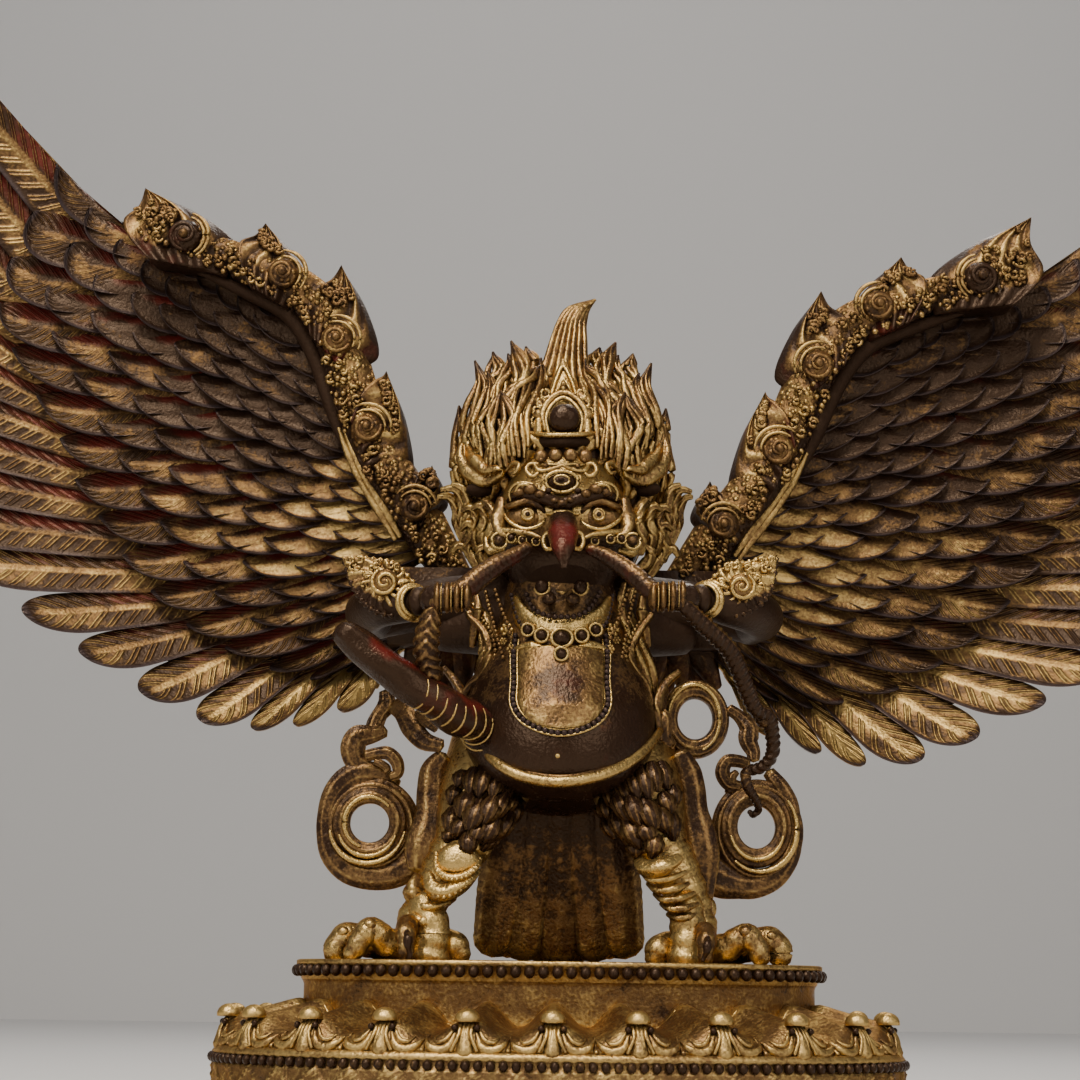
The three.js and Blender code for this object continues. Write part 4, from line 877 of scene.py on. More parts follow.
torso = Casting("torso", "figure_bronze")
belly = shades(0.2, 0, np.r_[np.full(22, -0.6), np.linspace(-0.6, -0.22, 18), np.full(22, -0.22)])
torso.add(stack(torso_sections, 60, 72), belly[:, None])
torso.add(lump((-0.8, 1.5, 96.5), (20.5, 13.5, 12.5), 20, 32), (0, 0, -1.2))
torso.add(lump((0, 8.5, 136), (17, 11, 14), 20, 32))
lip = [(-19.9, -16, 100.8), (-17.7, -23, 96.4), (-13.8, -27.5, 92.9), (-8.7, -30, 90.6), (-0.1, -32, 89.5),
       (9.4, -29, 91.6), (16.4, -24, 95.5), (21.5, -18, 100.5), (23.9, -12, 104.2)]
torso.add(bar(lip, [0.9, 1.3, 1.35, 1.35, 1.3, 0.9], 90, 14), (0, 0.05, 0.25))
torso.add(bar([(-20.1, -11, 103.9), (-19.1, -15, 100.6), (-16.4, -21, 96.5), (-8.7, -28.4, 92), (-0.1, -31.6, 90.7),
               (9.4, -28.4, 92.8), (16.4, -23, 96.8), (22.3, -15, 102.7), (23.8, -11, 105)],
              [0.5, 0.6, 0.6, 0.5], 80, 8), (0, 0, -0.3))
torso.add(lump(on_chest(-1.3, 95.7, -0.3), (0.9, 0.8, 0.8), 8, 10), (0, 0, 0.8))

# Bib: a domed U-shaped plate on the belly, its height between bottom and top setting the half width
bib_low, bib_high, bib_half = 102.1, 122.3, 10.4
share = np.linspace(0, 1, 44)[:, None]
bib_width = bib_half * (1 - (1 - np.minimum(share / 0.42, 1)) ** 2.3) ** (1 / 2.3)
bib_across = np.r_[np.linspace(-1, 1, 31), np.linspace(0.96, -0.96, 10)]
bib_face = np.r_[np.ones(31), np.zeros(10)]
bib_z = bib_low + (bib_high - bib_low + 1.0 * (1 - np.abs(bib_across) ** 2) * share) * share
bib_lift = np.where(bib_face > 0, 1.5 - 0.5 * bib_across**4 * np.ones_like(share), -1.0)
bib = on_chest(-0.6 + bib_width * bib_across, bib_z, bib_lift)
worn = np.exp(-((bib_across / 0.85) ** 2) - ((share - 0.55) / 0.42) ** 2)
torso.add(capped(bib), capped(shades(0.5 * worn, 0.1 * worn, 0.12 - 0.26 * worn)))
edge = [(-11.9, -22, 126.1), (-12.2, -24, 121.6), (-12, -27, 114.2), (-12, -29, 108.4), (-10.3, -30, 105.1),
        (-6.6, -30, 102.5), (-0.7, -31, 101.1), (5.4, -30, 102.6), (9, -30, 105.4), (10.5, -29, 108.7),
        (10.3, -27, 114.5), (10.5, -24, 121.9), (10.2, -22, 126.4)]
edge_line = chest_line(edge, 0.9, 90)
torso.add(string_of(edge_line, 0.74, 1.5, 7, 9), (0, 0.7, -0.2))
for shrink in (-0.9, 0.85):
    rim_line = edge_line + (edge_line - edge_line.mean(axis=0)) * (shrink / 12, 0, shrink / 12)
    torso.add(bar(on_chest(rim_line[:, 0], rim_line[:, 2], 0.7), [0.28, 0.3, 0.28], 100, 6), (0, 0, 0.4))

# Collar: a smooth gilt crescent between two strings of beads, with five set stones and a pendant
collar = [(-12, -19, 135.1), (-10.3, -21, 131), (-6, -23, 128.1), (-0.8, -24, 127.2), (4.4, -23, 128.5),
          (9.1, -21, 131.2), (11.2, -19, 135.4)]
torso.add(bar(chest_line(collar, 0.2), [2.0, 2.9, 3.1, 3.1, 3.1, 2.9, 2.0], 60, 16, flat=0.45), (0, 0, 0.7))
for beads_under in ([(-13.1, -19, 137), (-12.1, -20, 133), (-10.5, -22, 128.9), (-6.9, -23, 126.5)],
                    [(11.9, -19, 137.3), (11.2, -20, 133.3), (9.9, -22, 129.2), (6.5, -23, 126.7)]):
    torso.add(string_of(chest_line(beads_under, 1.3), 0.62, 1.3), (0, 0.75, -0.2))
throat = [(-9.3, -21, 136.2), (-8.4, -22, 133.7), (-6.5, -23, 131.6), (-3.5, -24, 130.4), (-0.5, -24.5, 130.2),
          (3, -24, 130.6), (5.8, -23, 132.3), (7.5, -22, 134.8), (8.6, -21, 137.2)]
torso.add(string_of(chest_line(throat, 2.9), 0.72, 1.42, 8, 10), (0, 0.6, -0.2))
for x, z, size in ((-8.9, 127.2, 1.5), (-5.5, 125.6, 1.65), (-0.6, 124.9, (2.55, 2.2)), (4.2, 125.7, 1.65),
                   (7.7, 127.5, 1.5), (-0.7, 120.7, 1.6)):
    stone(on_chest(x, z, 2.6), size, torso)
petal_turn = np.arange(6) / 6 * 2 * np.pi
for x, z, size in ((-14, 127.9, 1.6), (11.9, 128.2, 1.6), (-12.8, 122.6, 1.1), (11.2, 122.9, 1.1),
                   (-14.8, 124.9, 0.9), (12.9, 125.6, 0.9)):
    centre = on_chest(x, z, 1.2)
    torso.add(lump(centre, size * 0.6, 7, 9), (0, 0.2, 0))
    around = centre + np.stack([np.cos(petal_turn), 0 * petal_turn, np.sin(petal_turn)], axis=-1) * size * 0.75
    torso.add(lump(around, size * 0.42, 6, 7))
for fold in ([(-11.7, -23, 122.7), (-8.7, -25, 123.2), (-4.1, -26.5, 122.1)],
             [(10.2, -23, 123), (6.9, -25, 123.5), (2.3, -26.5, 122.2)]):
    torso.add(bar(chest_line(fold, 0.8), [0.5, 1.3, 0.5], 20, 8, flat=0.6), (0, 0, 0.5))

# Ribbons that curve round the hollow between the arm and the belly, on both sides
for ribbon in ([(-22.5, -8, 135.7), (-18.8, -10, 130.9), (-17.4, -11, 123.7), (-18.8, -11, 117.5), (-22, -9, 113.4)],
               [(-24.2, -6, 134.5), (-21.1, -8, 129.6), (-19.7, -9, 123.5), (-20.8, -9, 117.9), (-23.6, -7, 114.9)],
               [(14.9, -9, 141.1), (13.9, -10, 135.3), (17.4, -11, 125.2), (20.2, -10, 118.4), (21.6, -8, 111.2)],
               [(17, -7, 140), (16, -8, 134.2), (19.2, -9, 126), (21.8, -8, 120.2), (23.2, -6, 112.5)]):
    torso.add(bar(ribbon, [0.7, 1.3, 1.4, 1.3, 0.7], 50, 12, relief=grooves(0.2, 4)), (0.1, 0, -0.02))

# Sashes and strings that run down both sides of the chest
strings = (
    ([(-17, -17, 137.7), (-15.6, -18, 133.3), (-14, -20, 129.2), (-12.9, -21, 125.3)], 0.6, True),
    ([(15.7, -17, 138.2), (14.2, -18, 133.7), (12.9, -20, 129.6), (11.3, -21, 125.6)], 0.6, True),
    ([(-19.4, -14, 137.7), (-17.9, -16, 131.7), (-16.3, -18, 125.7), (-14.8, -20, 120.7)], 0.55, True),
    ([(17.5, -14, 138.3), (16, -16, 132.2), (15, -18, 126.1), (14.1, -20, 121.1)], 0.55, True),
    ([(-23.6, -11, 132.4), (-19.6, -13, 127.9), (-18.3, -14, 123.4), (-19.4, -14, 117.7), (-23.2, -12, 114.4),
      (-25.4, -9, 110.7)], 1.1, False),
    ([(-21.8, -10, 133.3), (-18.2, -14, 128.2), (-16.8, -16, 122.7), (-18, -16, 117.9), (-21.3, -13, 115)], 0.6, True),
    ([(-29.7, -6, 119.7), (-26.7, -9, 115.9), (-24.2, -10, 111.6), (-20, -11, 103.9)], 1.1, False),
    ([(21.7, -11, 133.1), (18.5, -13, 128.4), (16.3, -14, 123.4), (17.6, -14, 118.7), (20.3, -12, 115.7),
      (21.8, -11, 111.1)], 1.1, False),
    ([(20.3, -10, 133.7), (17.1, -14, 128.2), (15.1, -16, 122.7), (16.5, -16, 118), (19, -14, 114)], 0.6, True),
    ([(28.9, -6, 119.5), (25.5, -8, 116.3), (23.3, -10, 111.3), (23.9, -11, 102.2)], 1.1, False),
    ([(-21.8, -11, 137.3), (-21.2, -12, 133.3), (-21.9, -10, 129.7), (-22.6, -8, 125.2)], 1.2, False),
    ([(19.5, -11, 137.9), (19.1, -12, 133.8), (20, -10, 130.3), (20.9, -8, 125.8)], 1.2, False))
for path, radius, beaded in strings:
    if beaded:
        torso.add(string_of(smooth_line(path, np.linspace(0, 1, 30)), radius, radius * 2), (0, 0.3, 0))
    else:
        torso.add(bar(path, [radius * 0.6, radius, radius, radius * 0.6], 40, 12, relief=grooves(0.22, 4)),
                  (0.1, 0.1, -0.12))
# Blackened bars in the armpits: painted shadow of the gap between arm and body
for side in (-1, 1):
    armpit = [(side * 11, -3, 133), (side * 20, 1, 131.5), (side * 30, 3, 130)]
    torso.add(bar(armpit, [8.5, 7.5, 5], 20, 20), (0, 0, -1.8))
torso.add(bar([(-17, 15, 138.3), (0, 16, 138.3), (17, 15, 138.3)], [9, 10, 9], 16, 16, flat=0.7))
torso.make(figure_metal, "figure")

# HEAD
# Round gilt face under a knobbed dark brow: staring eyes in almond lids, a red lacquered beak with curled
# nostrils, curled cheeks and chin, large smooth ears and a mane of striped tufts at both sides.

def flip(path, side, middle=-0.9):
    """The same path on either side: its distance in x from the middle takes the side's sign."""
    path = np.array(path, float)
    path[..., 0] = middle + side * (path[..., 0] - middle)
    return path


head = Casting("head", "figure_bronze")
# The head's core loses its gold towards the chin, painted shade under the beak, and gains some towards the top
head.add(stack([
    [134, -0.6, -8, 8, 6.5], [139, -0.6, -10, 11.5, 7.5], [146, -0.6, -11.6, 15, 8.6],
    [150.5, -0.6, -13.8, 16.6, 12.2], [156, -0.6, -14, 16.8, 13.2], [161, -0.6, -12.6, 15.6, 13],
    [166, -0.6, -10.8, 14.4, 13], [171, -0.6, -8.6, 12.5, 12.2]], 44, 64),
         np.linspace(-2, 2, 46)[:, None, None].clip(-1, 0.28) * (0, 0, 1))
# The mouth under the beak, blackened: painted shadow of the cave below the beak
head.add(stack([
    [134.4, -0.6, -10.6, 6, 4.4], [137, -0.6, -11.6, 9, 6], [141, -0.6, -12.2, 10.4, 6.8],
    [146, -0.6, -12.4, 11.0, 6.8], [150, -0.6, -12.8, 10, 7]], 24, 40), (0, 0, -2.4))


def arc_path(centre, wide, tall, start, end, count=14):
    """Piece of an oval that faces forwards, from one angle to another in degrees."""
    angle = np.radians(np.linspace(start, end, count))
    return np.asarray(centre) + np.stack([wide * np.cos(angle), 0 * angle, tall * np.sin(angle)], axis=-1)


for side, eye, lid in ((-1, (-9.7, -25, 154.4), ((-15.2, -22.5, 157.3), (-14, -25.5, 153.5), (-9.8, -27.6, 150.9),
                                                (-6, -27.6, 152.2), (-4.7, -26, 154.8))),
                       (1, (8.4, -25, 154.6), ((13.9, -22.5, 157.7), (12.8, -25.5, 153.8), (8.4, -27.6, 151.1),
                                               (4.6, -27.6, 152.3), (3.3, -26, 154.7)))):
    eye = np.array(eye)
    head.add(lump(eye + (0, 1, 0), (5, 3, 3.5), 16, 24), (0, 0, -0.25))
    ball = eye + (side * -0.4, -1.6, 0.3)
    head.add(lump(ball, (1.9, 0.9, 1.9), 12, 18), (0, 0, 0.1))
    head.add(bar(arc_path(ball + (0, -0.7, 0), 1.35, 1.35, 0, 330, 24), [0.27, 0.3, 0.27], 30, 6), (0, 0, 0.6))
    head.add(lump(ball + (0, -0.9, 0), (0.62, 0.5, 0.62), 8, 10), (0, 0.3, -0.4))
    head.add(bar(lid, [0.25, 0.5, 0.6, 0.5, 0.25], 34, 10), (0, 0, 0.6))
    # A dark bar over each eye: the upper lid, darkened as painted shade under the brow
    upper = [lid[0], eye + (side * 3.6, -1.6, 2.5), eye + (0, -2.6, 3.5), eye + (side * -3.4, -2.2, 2.2), lid[-1]]
    head.add(bar(upper, [0.4, 0.8, 0.9, 0.8, 0.4], 34, 10), (0, 0, -0.3))
    cheek = [eye + (side * 6.2, 2.2, 5.0), eye + (side * 6.6, 1.4, 0), eye + (side * 5.6, 0.6, -4.2),
             eye + (side * 2.4, 0, -5.8)]
    head.add(bar(cheek, [0.8, 1.4, 1.5, 1.1], 30, 14, flat=1.5), (0.05, 0, -0.08))

brow = [(-13.9, -23, 158.8), (-11.7, -26, 159.7), (-8.7, -27.5, 159.6), (-4.9, -27.8, 158.5), (-0.9, -27.5, 157.3),
        (3.2, -27.8, 158.7), (7.4, -27.5, 159.9), (10.3, -26, 160), (12.7, -23, 159.1)]
head.add(bar(brow, [0.8, 1.5, 1.8, 1.7, 1.7, 1.7, 1.8, 1.5, 0.8], 80, 16), (0, 0.2, -0.4))
for spot, size in (((-11.4, -28, 160), 1.7), ((-8.7, -29, 160.5), 1.8), ((-6.4, -29.4, 159.2), 1.3),
                   ((-4.3, -29, 160.3), 0.9), ((-2.8, -29, 157.8), 1.1), ((-0.9, -29.4, 157.1), 1.3),
                   ((1, -29, 157.9), 1.1), ((2.8, -29, 160.4), 0.9), ((4.8, -29.4, 159.5), 1.3),
                   ((7.2, -29, 160.8), 1.8), ((9.8, -28, 160.3), 1.7)):
    head.add(lump(spot, (size, size * 0.9, size * 0.8), 9, 12), (0, 0.2, -0.25))
for path in (((-13.5, -25.5, 158.4), (-13.8, -26, 160.4), (-12.6, -27, 162), (-10.4, -28, 162.4),
              (-8.1, -28.6, 161.9)),
             ((12.2, -25.5, 158.8), (12.5, -26, 160.8), (11.2, -27, 162.3), (9, -28, 162.7), (6.8, -28.6, 162.1)),
             ((6.6, -29.5, 160.6), (8, -30, 161.6), (10, -29.5, 161.6), (10.8, -29, 160.3)),
             ((-8.3, -29.5, 160.4), (-9.5, -30, 161.4), (-11.5, -29.5, 161.3), (-12.3, -29, 159.9))):
    head.add(bar(path, [0.3, 0.45, 0.45, 0.3], 24, 7), (0, 0, 0.7))

third = np.array((-1.1, -27.2, 163))
head.add(lump(third + (0, 1.2, 0), (3.6, 2.3, 2.2), 14, 22), (0.1, 0.1, -0.3))
head.add(bar(arc_path(third + (0, 0.2, 0), 4.0, 2.6, -90, 262, 40), [0.5, 0.55, 0.5], 60, 8), (0, 0, 0.8))
head.add(bar(arc_path(third + (0, -0.7, 0.2), 1.9, 1.15, -90, 262, 30), [0.3, 0.34, 0.3], 40, 7), (0, 0, 0.5))
head.add(lump(third + (-0.2, -1.2, 0.25), (0.8, 0.6, 0.5), 8, 10), (0, 0.2, -0.4))
for path in (((-8.2, -24, 168.8), (-6.6, -26, 165.9), (-2.9, -27, 166.3), (-1.1, -27.2, 167.1)),
             ((5.8, -24, 169), (4.3, -26, 166), (0.7, -27, 166.4), (-1.1, -27.2, 167.1)),
             ((-6.6, -26, 165.5), (-8.2, -26, 164.4), (-9.8, -25, 166.1), (-9, -24.6, 167.8), (-7, -25, 167.8)),
             ((4.3, -26, 165.6), (5.8, -26, 164.6), (7.4, -25, 166.3), (6.6, -24.6, 168.1), (4.8, -25, 167.9)),
             ((-14.8, -19, 167.4), (-13.1, -21, 168.8), (-11.6, -23, 167.8), (-12.6, -23, 165.9), (-13.9, -22, 166.3)),
             ((13.1, -19, 167.8), (11.4, -21, 169.2), (9.9, -23, 168.1), (10.9, -23, 166.2), (12.1, -22, 166.7))):
    head.add(bar(path, [0.4, 0.7, 0.6, 0.4], 30, 8), (0, 0, 0.1))
for spot in ((-5, -27, 167), (2.7, -27, 167), (-6.2, -26, 168.6), (4.3, -26, 168.7)):
    head.add(lump(spot, (0.7, 0.6, 0.6), 7, 9), (0, 0.4, 0))

# Beak with its bridge, nostril curls, cheek curls and the chin in the shadow below it
down, turn = np.linspace(0, 1, 56)[:, None], np.arange(24) / 24 * 2 * np.pi
beak = shades(0.1 + 0.42 * np.sin(np.pi * np.clip(down * 1.15 - 0.1, 0, 1)) + 0 * turn, 0.1, -0.62)
head.add(bar([(-0.8, -25, 156), (-0.7, -29.5, 151.7), (-0.7, -33.5, 148.1), (-0.6, -37.5, 144), (-0.4, -39.2, 139.6)],
             [2.6, 3.3, 3.5, 2.6, 0.55], 50, 24, flat=0.92, across=(1, 0, 0),
             relief=lambda length, turn: 0.25 * np.cos(2 * turn)), beak)
head.add(bar([(-4.6, -27.6, 154.8), (-0.9, -29, 154.8), (3, -27.6, 154.9)], [0.5, 0.9, 0.5], 20, 8), (0, 0, 0.8))
head.add(bar([(-2.7, -29, 152.7), (-0.9, -30.2, 153), (1.2, -29, 152.8)], [0.6, 1.3, 0.6], 16, 8), (0.5, 0, -0.2))
for nostril in (
        [(-3.1, -32.5, 149.4), (-4.7, -31.5, 149.1), (-5.4, -31.5, 147.2), (-4.6, -32, 145.3), (-3.3, -33, 145.3),
         (-3.2, -33.5, 146.9)],
        [(1.9, -32.5, 149.5), (3.5, -31.5, 149.3), (4.2, -31.5, 147.4), (3.5, -32, 145.5), (2.2, -33, 145.4),
         (1.9, -33.5, 147)]):
    head.add(bar(nostril, [0.45, 0.65, 0.6, 0.4], 36, 8), (0, 0, 0.7))
curls = (
    ((-16.1, -26, 148.3), 1.9), ((-13.2, -27, 148.9), 1.15), ((-10.4, -28, 148.2), 1.0), ((-7.2, -28.5, 147.8), 0.95),
    ((16.4, -26, 148.7), 1.9), ((13.6, -27, 149.1), 1.15), ((10.9, -28, 148.7), 1.0), ((7.1, -28.5, 148.1), 0.95))
for centre, size in curls:
    centre = np.array(centre)
    head.add(lump(centre, (size * 0.72, size * 0.7, size * 0.72), 9, 12), (0.1, 0.3, -0.3))
    head.add(bar(arc_path(centre + (0, 0.2, 0), size, size, 60, 380, 20), [0.2 * size, 0.27 * size, 0.2 * size],
                 28, 7), (0, 0, 0.6))
for side in (-1, 1):
    ridge = [(15.6, -23, 153.8), (14.2, -25, 151.3), (10.8, -27, 150.5), (6.6, -29, 149.5), (4.3, -30, 148.4)]
    head.add(bar(flip(ridge, side), [0.5, 0.8, 0.85, 0.7, 0.4], 36, 10), (0, 0, 0.1))
    jaw = [(17.7, -20, 149.9), (16.8, -21, 146.9), (13.3, -23, 147)]
    head.add(bar(flip(jaw, side), [0.8, 1.2, 0.7], 24, 9), (0, 0, 0.1))
    curl = flip((3.8, -21.6, 137.9), side)
    head.add(lump(curl, (1.7, 1.6, 1.9), 10, 14), (0, 0.3, -0.5))
    head.add(bar(arc_path(curl + (0, -0.6, 0), 1.9, 2.1, 200, 385, 16)[::side], [0.3, 0.4, 0.3], 24, 7), (0, 0, 0.1))
    head.add(lump(flip((2, -22.5, 134.7), side), (1.8, 1.6, 1.6), 9, 12), (0, 0, -0.5))
head.add(bar([(-1.9, -22.4, 136.6), (-0.6, -22.8, 136.2), (0.7, -22.4, 136.7)], [0.3, 0.55, 0.3], 12, 7), (0, 0, 0))

# Ears: cupped leaves with a deep hollow beneath, painted black as shade, then the mane's striped tufts
for side, ear, tufts in (
        (-1, [(-25.8, -7, 178), (-25.2, -9, 173.6), (-23, -12, 169.6), (-19.6, -15, 167.1), (-16.6, -18, 167.3)],
         ([(-23.8, -6, 151.1), (-25.7, -6, 157.5), (-26, -7, 162.4), (-27.8, -8, 165), (-31.3, -8, 164.7)],
          [(-24.9, -4, 151.4), (-27, -4, 157.3), (-27.6, -5, 161.5), (-29.4, -6, 163.4), (-32.1, -6, 163.3)],
          [(-22.8, -8, 151.5), (-24.4, -8, 157.1), (-24.4, -9, 161.5), (-25.7, -10, 164.8), (-28.5, -10, 165.8)],
          [(-21.7, -10, 149.5), (-22.7, -11, 153.9), (-22.3, -12, 157.5), (-23.8, -13, 159.3), (-25.8, -12, 158.5)],
          [(-19.6, -13, 149), (-20.6, -14, 152.8), (-19.7, -15, 156.7), (-21.2, -16, 159.2), (-23.2, -15, 158.4)],
          [(-23.7, -8, 147.9), (-24.2, -9, 151.2), (-23, -11, 153.9), (-24.2, -12, 155.5), (-26.2, -11, 153.9)],
          [(-18, -15, 147.6), (-18.6, -17, 150.7), (-17.6, -18, 154.6), (-18.4, -18, 158.1), (-20.5, -17, 160.3)],
          [(-20.6, -8, 143.8), (-22.7, -8, 146.9), (-24.7, -8, 149.9), (-26.8, -8, 150.4), (-28.2, -8, 148.8)],
          [(-18, -12, 144.1), (-20, -13, 145.9), (-21.1, -14, 148.3), (-19.6, -15, 149.4)])),
        (1, [(25, -7, 179.2), (24.3, -9, 174.6), (21.9, -12, 170.5), (18.5, -15, 167.7), (15.4, -18, 167.7)],
         ([(25.1, -6, 151), (27.1, -6, 157.7), (27.5, -7, 163.2), (29.2, -8, 165.6), (31.7, -8, 165.1)],
          [(26.2, -4, 151.4), (28.4, -4, 157.6), (29.1, -5, 162.1), (30.6, -6, 164), (32.1, -6, 164.2)],
          [(23.9, -8, 151.3), (25.7, -8, 157.8), (25.9, -9, 162.2), (26.8, -10, 165.6), (28.8, -10, 166.4)],
          [(22.6, -10, 149.2), (23.8, -11, 154.1), (23.2, -12, 158.2), (24.6, -13, 160), (26.4, -12, 159)],
          [(20.7, -13, 149), (21.6, -14, 152.9), (20.5, -15, 156.8), (22, -16, 159.6), (23.8, -15, 158.8)],
          [(24.4, -8, 147.5), (25.1, -9, 151.2), (23.8, -11, 154.1), (24.9, -12, 155.9), (26.8, -11, 154.6)],
          [(18.6, -15, 148.1), (19, -17, 151.3), (17.9, -18, 155.1), (18.7, -18, 158.6), (20.4, -17, 160.9)],
          [(21.5, -8, 143.9), (23.4, -8, 147), (25.4, -8, 149.6), (27.2, -8, 150.4), (28.5, -8, 148.6)],
          [(18.8, -12, 144.7), (20.7, -13, 146.3), (21.4, -14, 148.4), (19.8, -15, 149.7)]))):
    cup = bar(ear, [0.7, 2.7, 3.7, 3.4, 1.8], 44, 32, across=(0, 1, 0.5),
              relief=lambda length, turn: -2.0 * np.minimum(length / 5, 1) * np.exp(-(((turn - np.pi) / 0.6) ** 2)))
    head.add(cup, (0.05, 0, 0.12))
    # A black lump under each ear: painted shadow of the deep hollow beneath it
    pit = np.array(ear[3]) * 0.5 + np.array(ear[2]) * 0.5 + (0, 1.8, -4.2)
    head.add(lump(pit, (3.6, 2.4, 2), 12, 18), (0, 0, -2.4))
    for path in tufts:
        head.add(bar(path, [1.1, 1.5, 1.4, 1.1, 0.4], 22, 15, relief=grooves(0.3, 5)), (0, 0, 0.02))
head.make(figure_metal)

# HAIR AND DIADEM
# Hair swept up as wavy flames round a tall central one that curls over, with a diadem before it: a row of four
# set squares, a shelf with a deep recess, a domed jewel under an arch and a pointed finial.

hair = Casting("hair", "figure_bronze")
random = np.random.default_rng(21)
hair_sections = np.array([
    [136, -0.4, 3, 12.8, 10], [149, -0.4, 2, 18.5, 13], [161, -0.4, 1, 23.6, 16.4], [172.6, -0.4, -0.4, 24.4, 18.4],
    [182.7, -0.4, 0, 23, 17], [190, -0.4, 1, 17.4, 13.4], [196.4, -0.4, 1.8, 8, 7.4]])
# The hair's bulb is dark where it shows between the locks: partly dark lacquer, partly painted shade in the grooves
hair.add(stack(hair_sections, 50, 72), (0, 0, -0.7))


def on_hair(turn, z, lift):
    """Point of the hair's bulb at a turn from the front, pushed out by a lift."""
    x, y, wide, deep = (np.interp(z, hair_sections[:, 0], hair_sections[:, k]) for k in (1, 2, 3, 4))
    return np.stack([x + (wide + lift) * np.sin(turn), y - (deep + lift) * np.cos(turn), z + 0 * turn], axis=-1)


def tuft(path, size, strands):
    """Strands that start side by side and lean together at the tip: the path plus each strand's share times a
    spread of size (1 - s^2.4) along the path's normal in the plane of the wings, the outer ones further back."""
    line = even_line(path, 12)
    share = np.linspace(0, 1, 12)
    way = unit_of(np.cross(line[-1] - line[0], (0, 1, 0)))
    place = np.linspace(-1, 1, strands)[:, None]
    spread = place * size * (1 - share**2.4) + 0.42 * size * np.sin(8 * share + 2 * place) * np.sin(3.14 * share)
    lines = line + spread[..., None] * way + (place**2)[..., None] * (0, 0.5 * size, 0)
    radii = np.array([0.3, 0.56, 0.6, 0.56, 0.5, 0.38, 0.14]) * size * 2.3 / (strands - 1)
    return bar(lines, radii, 22, 9, relief=grooves(0.1, 3))


lock_count = 48
turn = (np.arange(lock_count) + 0.5) / lock_count * 2 * np.pi
front = np.cos(turn) > -0.2
layer = np.arange(lock_count) % 2
low = np.where(front, 163 - 5 * np.abs(np.sin(turn)) + 3 * layer, 146.0)
low = np.where(np.abs(np.sin(turn)) < 0.45, low + 8, low)
high = np.where(layer == 0, 195, 190) + random.uniform(-1.5, 1.5, lock_count)
share = np.linspace(0, 1, 9)[None]
z = low[:, None] + (high - low)[:, None] * share
wave = 0.11 * np.sin(share * 11 + random.uniform(-0.4, 0.4, lock_count)[:, None] + np.pi * layer[:, None] * 0.2)
lift = 0.2 + 0.5 * layer[:, None] + 0.4 * np.sin(share * 9) + 1.2 * share**4
path = on_hair(turn[:, None] + wave * (1 - 0.3 * share), z, lift)
hair.add(bar(path, [1.0, 1.8, 1.9, 1.8, 1.5, 1.1, 0.3], 34, 9, flat=0.85, relief=grooves(0.14, 3)), (0.05, 0, -0.08))

# Tall flame: seven strands that rise from beside the diadem, lean together and curl over to one tip
base = np.array([(-0.5, -16, 175.1), (-0.6, -13, 185.9), (-0.4, -9, 195.9), (0.5, -7, 204.7), (1.3, -5, 209.9),
                 (2.8, -4, 213.4), (7.2, -2, 216.8)])
spread = np.array([3.6, 3.1, 1.8, 1.32, 1.05, 0.85, 0.05])
for i in range(-3, 4):
    strand = base + (i * spread)[:, None] * (1, 0, 0) + (0, 0.22 * i * i, 0.3 * abs(i))
    hair.add(bar(strand, [1.5, 1.5, 1.45, 1.15, 0.9, 0.8, 0.65, 0.2], 50, 12, relief=grooves(0.1, 3)), (0, 0.1, 0.05))
hair.add(bar([(-0.3, 4, 197.1), (0.6, 3, 206.3), (2.1, 0, 213.5), (6.4, -1, 216.5)], [5.5, 4.2, 2.6, 0.4], 40, 16),
         (0, 0, -0.4))

